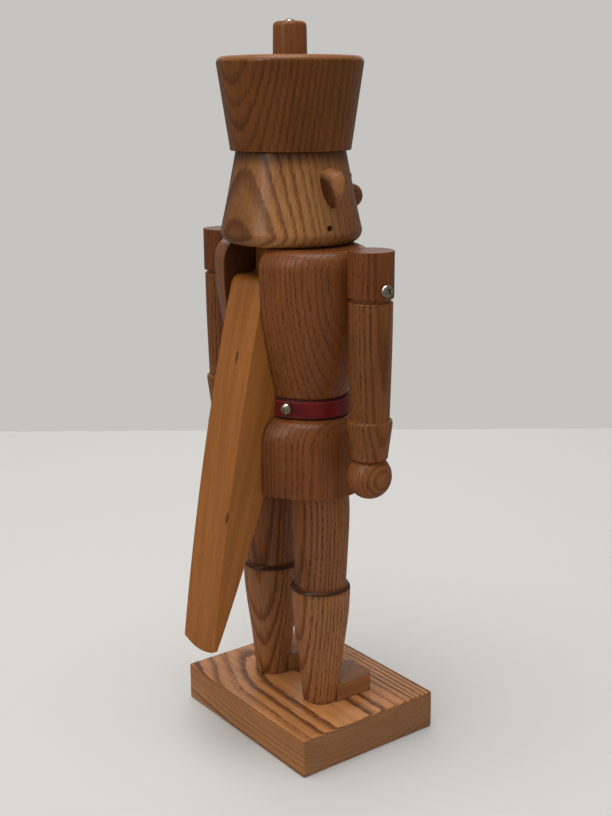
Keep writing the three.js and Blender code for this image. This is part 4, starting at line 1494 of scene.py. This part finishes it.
@dataclass
class Arm:
    """One arm, turned in one piece with its cuff and hand, drawn from the shoulder screw."""

    side: Side
    top: float = 16.3
    sleeve: float = 10.1
    sleeve_drop: float = 4.2
    groove: float = 1.8
    groove_depth: float = 1.5
    upper: float = 9.7
    elbow: Pair = (9.5, 28.0)
    forearm: float = 8.8
    cuff_drop: float = 58.2
    cuff: float = 10.1
    cuff_length: float = 17.8
    wrist: float = 8.1
    hand_drop: float = 84.1
    hand: float = 10.1
    hand_tall: float = 10.3
    pivot: Array = field(init=False)

    def __post_init__(self) -> None:
        """Takes the shoulder from the arm's joint."""
        self.pivot = pivot_mm(f"{self.side.word}_arm_swing")

    def build(self) -> Piece:
        """The arm's profile carried round: ball hand, tapered cuff, forearm, groove, sleeve.

        Returns:
            The arm.
        """
        g = self.groove
        cuff_end = -self.cuff_drop - self.cuff_length
        neck = self.wrist - self.groove_depth
        hand_top = math.degrees(math.acos(neck / self.hand))
        hand = arc((0, -self.hand_drop), (self.hand, self.hand_tall), -90, hand_top, 44)
        cuff = eased([
            (neck, cuff_end - 0.3, 0), (neck, cuff_end, 0.3), (self.wrist, cuff_end + 0.2, 0.6),
            (self.cuff, -self.cuff_drop - g, 1.2), (self.cuff - 0.1, -self.cuff_drop, 0.5),
            (self.forearm, -self.cuff_drop + 0.3, 0.3), (self.forearm, -self.cuff_drop + g, 0),
        ])
        forearm = spline([
            (self.forearm, -self.cuff_drop + g), (self.elbow[0], -self.elbow[1]),
            (self.upper, -self.sleeve_drop - 1.5 * g),
        ], 34)[1:]
        deep = self.sleeve - self.groove_depth
        sleeve = eased([
            (self.upper, -self.sleeve_drop - 1.5 * g, 0), (self.upper, -self.sleeve_drop - 0.8 * g, 0.6),
            (deep, -self.sleeve_drop - 0.6 * g, 0.3), (deep, -self.sleeve_drop, 0.3),
            (self.sleeve, -self.sleeve_drop + 0.2, 0.6), (self.sleeve, self.top, 0.45), (0, self.top, 0),
        ])[1:]
        profile = np.vstack([hand, cuff, forearm, sleeve])
        return skin(f"{self.side.word}_turned_arm", turned(profile, self.pivot))

    def dress(self, arm: Piece) -> None:
        """Gives the arm its straight-lined wood, with arches on the outer side and a darker sleeve.

        Args:
            arm: the turned arm.
        """
        groove = self.pivot[2] - self.sleeve_drop
        wood = RingWood(
            name=f"{self.side.word}_arm_wood", light="#7e4b25", dark="#613717", pore="#421b06", ring=1.8,
            pith=44.0, bearing=90.0 - 90.0 * self.side.value, wander=2.2, uneven=0.5, cloud=0.16, band=0.4,
            arch=0.8, pores=0.9, seed=11.0 + self.side.value,
            stains=(Stain(groove, groove + BEYOND, "#e6d6c8", 0.6, blend=Blend.SHADE),),
        )
        middle = self.pivot - [0, 0, self.hand_drop / 2]
        body = f"{self.side.word}_arm"
        settle(arm, body, wood.material(middle), [body])


@dataclass
class Lever:
    """The jaw lever: jaw in front, boss round the pin, and a handle that thins to a rounded tail."""

    reach: float = 29.0
    jaw_depth: float = 14.0
    jaw_rise: float = Head.jaw_rise
    jaw_bend: Pair = (20.5, -1.4)
    throat: Pair = (2.0, -48.0)
    front_bow: float = 7.6
    tail: Pair = (54.3, -196.5)
    tail_thickness: float = 1.4
    tail_crown: float = 2.5
    back_bow: float = 5.0
    shoulder: Pair = (23.6, -22.8)
    shoulder_round: float = 6.0
    shoulder_lean: float = 1.0
    neck: float = 9.0
    boss: float = 6.2
    ease: float = 0.55
    pin: float = Head.pin
    pivot: Array = field(init=False)
    half: float = field(init=False)

    def __post_init__(self) -> None:
        """Takes the pivot and the lever's width from the frame."""
        self.pivot = pivot_mm("jaw_lever_hinge")
        low, high = box_mm("jaw_lever")
        self.half = (high[0] - low[0]) / 2

    @staticmethod
    def bowed(start: Array, stop: Array, out: float) -> Array:
        """The bend of a curve between two points: their middle, moved out square to the line between them."""
        along = (stop - start) / np.linalg.norm(stop - start)
        return (start + stop) / 2 + out * np.array([along[1], -along[0]])

    def outline(self, across: Array) -> Array:
        """The lever's side view for each place across it: the tail is shorter towards its corners.

        Args:
            across: places across the lever, from its middle, in millimetres.

        Returns:
            One closed line of [behind, above] the pivot for each place.
        """
        jaw_front = np.array([-self.reach, self.jaw_rise - self.jaw_depth])
        throat, tail_back = np.array(self.throat), np.array(self.tail)
        tail_front = tail_back - [self.tail_thickness, 0]
        heel = np.array([self.shoulder[0], self.shoulder[1] - self.shoulder_round])
        front_bend = self.bowed(tail_front, throat, -self.front_bow)
        back_bend = self.bowed(tail_back, heel, self.back_bow)
        short = self.tail_crown * (across / self.half) ** 2
        front_end = 1 - short / (2 * abs(tail_front - front_bend)[1])
        back_end = 1 - short / (2 * abs(tail_back - back_bend)[1])
        t = np.linspace(0, 1, 70)
        front = bezier(throat, front_bend, tail_front, front_end[:, None] * t[1:])
        back = bezier(heel, back_bend, tail_back, back_end[:, None] * t[::-1])
        sx, sz = self.shoulder
        r = self.shoulder_round
        jaw_turn = 180 - math.degrees(math.asin(self.jaw_rise / self.boss))
        fixed = [
            bezier(jaw_front, jaw_front + self.jaw_bend, throat, np.linspace(0, 1, 40)),
            bezier(heel, (sx - self.shoulder_lean, sz), (sx - r, sz), np.linspace(0, 1, 12)[1:]),
            bezier((self.neck + r / 2, sz), (self.neck, sz), (self.neck, sz + r / 2), np.linspace(0, 1, 8)),
            np.array([[self.neck, -self.boss]]),
            arc((0, 0), (self.boss, self.boss), 0, jaw_turn, 24),
            np.array([[-self.reach, self.jaw_rise]]),
        ]
        spread = [np.broadcast_to(line, (len(across), *line.shape)) for line in fixed]
        return np.concatenate([spread[0], front, back, *spread[1:]], axis=1)

    def build(self) -> Piece:
        """The outline carried across the lever, drawn in along the two edges to ease them.

        Returns:
            The lever, drilled for its pin.
        """
        turn = np.radians(np.linspace(0, 90, 6))
        edge = self.half - self.ease * (1 - np.sin(turn))
        inner = np.linspace(self.half - self.ease, self.ease - self.half, 26)[1:-1]
        across = np.concatenate([edge[::-1], inner, -edge])
        draw = self.ease * (1 - np.cos(turn))
        inset = np.concatenate([draw[::-1], 0 * inner, draw])
        line = self.outline(across)
        along = np.roll(line, -1, axis=1) - np.roll(line, 1, axis=1)
        along /= np.linalg.norm(along, axis=2, keepdims=True)
        inward = np.dstack([-along[..., 1], along[..., 0]])
        line = line + inward * inset[:, None, None]
        x = np.broadcast_to(across[:, None], line.shape[:2])
        grid = np.dstack([x, line[..., 0], line[..., 1]]) + self.pivot
        lever = skin("jaw_lever_wood", grid, capped=True)
        return carve(lever, [pin_bore(self.pivot, self.pin, 2 * self.half)])

    def dress(self, lever: Piece) -> None:
        """Gives the lever its plain orange-brown wood, with fibres along the handle and two dark flecks.

        Args:
            lever: the finished lever.
        """
        lean = math.degrees(math.atan2(self.tail[0], -self.tail[1]))
        wood = PlainWood(
            "plain_lever_wood", "#965d2c", "#8a5324", "#70411a", lean=-lean, shine=0.2,
            knots=((-2.0, 40.8, 192.0), (-12.4, 54.8, 120.0)), knot_size=(1.1, 3.8),
        )
        settle(lever, "jaw_lever", wood.material(), ["jaw_lever"])


@dataclass
class RoundScrew:
    """A round-head wood screw with a cross recess."""

    name: str
    node: str
    point: Array
    direction: Array
    length: float
    turn: float  # degrees that the cross is turned
    shank: float = 1.5
    head: float = 3.0
    rise: float = 2.1
    arm_half: float = 0.36
    arm_reach: float = 1.5
    recess: float = 1.1

    def build(self) -> Piece:
        """The screw's profile carried round, with a cross sunk into its dome.

        The cross is the union of two soft bands: 1 - smoothstep across each arm, times the same along it.

        Returns:
            The screw.
        """
        taper = (self.shank, 4 * self.shank - self.length, 1.0)
        shank = eased([(0, -self.length, 0), taper, (self.shank, 0, 0)])
        dome = arc((0, 0), (self.head, self.rise), 0, 90, 40)
        grid = turned(np.vstack([shank, dome]), np.zeros(3), SMALL_SIDES)
        tilt = math.radians(self.turn)
        x = np.abs(grid[..., 0] * math.cos(tilt) + grid[..., 1] * math.sin(tilt))
        y = np.abs(grid[..., 1] * math.cos(tilt) - grid[..., 0] * math.sin(tilt))
        wide, far = self.arm_half, self.arm_reach
        bands = [
            (1 - smoothstep(wide - 0.1, wide + 0.1, a)) * (1 - smoothstep(far - 0.25, far + 0.1, b))
            for a, b in ((x, y), (y, x))
        ]
        sunk = np.maximum(*bands) * (grid[..., 2] > 0)
        grid[..., 2] -= self.recess * sunk
        return skin(self.name, aimed(grid, self.point, self.direction))


@dataclass
class Screws:
    """The five round-head screws that show, and the frame's hidden fasteners."""

    belt: Belt
    rise: float = RoundScrew.rise
    knob: Pair = (30.0, 20.0)  # length, and degrees that the cross is turned
    shoulder: Pair = (36.0, 30.0)
    strap: Pair = (14.0, 12.0)

    def build(self) -> list[RoundScrew]:
        """Places each screw from the frame.

        Returns:
            The screws.
        """
        _, high = box_mm("knob_screw")
        top = upright("knob_screw", high[2] - self.rise)
        placed = {"knob": (top, np.array([0.0, 0.0, 1.0]), *self.knob)}
        for side in Side:
            low, high = box_mm(f"{side.word}_shoulder_screw")
            outer = (low if side is Side.RIGHT else high)[0]
            point = np.array([outer - side.value * self.rise, *((low + high) / 2)[1:]])
            out = np.array([float(side.value), 0.0, 0.0])
            placed[f"{side.word}_shoulder"] = (point, out, *self.shoulder)
            placed[f"{side.word}_belt"] = (*self.belt.screw_place(side), *self.strap)
        return [RoundScrew(f"{where}_round_screw", f"{where}_screw", *row) for where, row in placed.items()]

    def dress(self, made: list[RoundScrew]) -> None:
        """Plates the screws and finishes the hidden fasteners.

        Args:
            made: the screws that show.
        """
        steel = PlatedSteel().material()
        for screw in made:
            settle(screw.build(), "figure", steel, [screw.node])
        dowel = PlainWood("bare_dowel_wood", "#c49a68", "#b0834f", "#9a6f40", gloss=0.6).material()
        hidden = {
            dowel: ["hat_dowel", *(f"{s.word}_{where}_dowel" for s in Side for where in ("hip", "neck"))],
            steel: ["lever_pin", *(f"{s.word}_leg_screw" for s in Side)],
        }
        for material, nodes in hidden.items():
            for node in nodes:
                slots = frame["nodes"][node].data.materials
                slots.clear()
                slots.append(material)


@dataclass(frozen=True)
class Lamp:
    """A soft lamp, placed in metres from the point that the camera looks at."""

    name: str
    back: float  # towards the camera
    right: float
    up: float
    power: float
    size: Pair = (1.0, 1.0)
    lights: bool = True  # False where only the varnish mirrors it


@dataclass
class Studio:
    """A pale floor in front of a pale surround, soft light from above, and the photo's camera."""

    azimuth: float = 233.181
    elevation: float = 14.588
    roll: float = -0.308
    distance: float = 583.405  # millimetres from the aim
    aim_height: float = 161.163
    aim_side: float = -0.135
    focal_pixels: float = 1210.05
    picture_height: float = 816.0
    film: float = 36.0
    floor_reach: float = 3000.0  # towards the camera and to both sides
    floor_end: float = 537.0  # behind the figure's axis
    floor_gap: float = 0.05  # below the board
    floor_thickness: float = 5.0
    floor_tone: str = "#cecece"
    surround: str = "#c6c4c0"
    lamp_tone: str = "#fffcf8"
    room: Pair = (0.85, 1.55)  # brightness of the room above, on the right and on the left
    mirrored: float = 0.3  # share of the surround that the varnish mirrors: the rest is left to the lamps
    lamps: tuple[Lamp, ...] = (
        Lamp("top_softbox", 0.2, -0.15, 1.4, 14.0),
        Lamp("far_fill", -1.3, 0.0, 1.0, 1.8),
        Lamp("side_window", 0.75, -0.9, 0.55, 4.0, (0.35, 0.9), lights=False),
    )

    def axes(self) -> tuple[Vector, Vector, Vector]:
        """The camera's right, up and backward directions.

        Returns:
            Three unit vectors.
        """
        a, e, r = (math.radians(v) for v in (self.azimuth, self.elevation, self.roll))
        back = Vector((math.sin(a) * math.cos(e), -math.cos(a) * math.cos(e), math.sin(e)))
        level = Vector((math.cos(a), math.sin(a), 0.0))
        upright = back.cross(level)
        right = math.cos(r) * level + math.sin(r) * upright
        return right, back.cross(right), back

    def build_camera(self) -> None:
        """Places the camera that was solved from the board's edges."""
        right, up, back = self.axes()
        a = math.radians(self.azimuth)
        level = Vector((math.cos(a), math.sin(a), 0.0))
        place = Vector((0.0, 0.0, self.aim_height)) + back * self.distance + level * self.aim_side
        lens = bpy.data.cameras.new("photo_camera")
        lens.sensor_fit = "VERTICAL"
        lens.sensor_height = self.film
        lens.lens = self.focal_pixels / self.picture_height * self.film
        lens.clip_start = 0.01
        camera = bpy.data.objects.new("photo_camera", lens)
        turn = Matrix((right, up, back)).transposed().to_4x4()
        camera.matrix_world = Matrix.Translation(place * MM) @ turn
        bpy.context.scene.collection.objects.link(camera)
        bpy.context.scene.camera = camera

    def build_floor(self) -> None:
        """A wide slab, level with the board's underside, that ends behind the figure square to the view."""
        low, _ = box_mm("base_plate")
        a = math.radians(self.azimuth)
        back, level = np.array([math.sin(a), -math.cos(a)]), np.array([math.cos(a), math.sin(a)])
        corners = [(-self.floor_end, -1), (-self.floor_end, 1), (self.floor_reach, 1), (self.floor_reach, -1)]
        ring = np.array([back * along + level * side * self.floor_reach for along, side in corners])
        top = low[2] - self.floor_gap
        floor = prism("pale_floor", ring, top - self.floor_thickness, top)
        material, _, shader = blank_material("pale_floor_paint")
        shader.inputs["Base Color"].default_value = linear(self.floor_tone)
        shader.inputs["Roughness"].default_value = 0.6
        shader.inputs["Specular IOR Level"].default_value = 0.2
        floor.data.materials.append(material)
        floor.visible_glossy = False

    def build_light(self) -> None:
        """A pale surround, a room above it that is brighter on the left, and the lamps."""
        right, _, back = self.axes()
        world = bpy.data.worlds.new("pale_surround")
        world.use_nodes = True
        tree = world.node_tree
        surround = tree.nodes["Background"]
        surround.inputs["Color"].default_value = linear(self.surround)
        dark, bright = self.room
        results = weave(tree, [
            vector("leftness", "DOT_PRODUCT", "way", tuple(-right)),
            Step("rise", SEPARATE, {0: "way"}, {}, 2),
            ramp("room", "leftness", -0.9, 0.9, dark, bright),
            ramp("height", "rise", 0.08, 0.35),
            Step("open_room", MIX, {0: "height", 2: 1.0, 3: "room"}, {"data_type": "FLOAT"}),
            Step("glossy", "ShaderNodeLightPath", {}, {}, 3),
            ramp("dimmed", "glossy", 0.0, 1.0, 1.0, self.mirrored, soft=False),
            calc("strength", "MULTIPLY", "open_room", "dimmed"),
        ], {"way": add_node(tree, COORDINATE).outputs["Generated"]})
        tree.links.new(results["strength"], surround.inputs["Strength"])
        bpy.context.scene.world = world
        target = Vector((0.0, 0.0, self.aim_height * MM))
        for lamp in self.lamps:
            light = bpy.data.lights.new(lamp.name, "AREA")
            light.energy = lamp.power
            light.shape = "RECTANGLE"
            light.size, light.size_y = lamp.size
            light.color = linear(self.lamp_tone)[:3]
            place = back * lamp.back + right * lamp.right + Vector((0, 0, lamp.up))
            made = bpy.data.objects.new(lamp.name, light)
            made.location = target + place
            made.rotation_euler = (-place).to_track_quat("-Z", "Y").to_euler()
            made.visible_diffuse = lamp.lights
            made.visible_camera = False
            bpy.context.scene.collection.objects.link(made)

    def build(self) -> None:
        """Sets the stage and plain colour output."""
        bpy.context.scene.view_settings.view_transform = "Standard"
        self.build_camera()
        self.build_floor()
        self.build_light()


def main() -> None:
    """Builds and dresses the figure from the board up, then sets the stage."""
    logging.basicConfig(level=logging.INFO, format="%(name)s %(message)s")
    board = Board()
    board.dress(board.build())
    for leg in (Leg(Side.RIGHT, 79.0, 0.6), Leg(Side.LEFT, 118.0, 1.9)):
        leg.dress(leg.build_leg(), leg.build_foot())
    trunk = Trunk()
    trunk.dress({side: trunk.build_half(side) for side in Side}, trunk.build_front())
    belt = Belt(trunk)
    belt.dress(belt.build())
    head = Head()
    head.dress(
        head.build_head(),
        {side: head.build_ear(side) for side in Side},
        head.build_peg("peg_nose", "nose", head.nose_dome),
        {side: head.build_peg(f"{side.word}_peg_eye", f"{side.word}_eye", head.eye_dome) for side in Side},
    )
    hat = Hat()
    hat.dress(hat.build_hat(), hat.build_knob())
    for side in Side:
        arm = Arm(side)
        arm.dress(arm.build())
    lever = Lever()
    lever.dress(lever.build())
    screws = Screws(belt)
    screws.dress(screws.build())
    Studio().build()


if __name__ == "__main__":
    main()
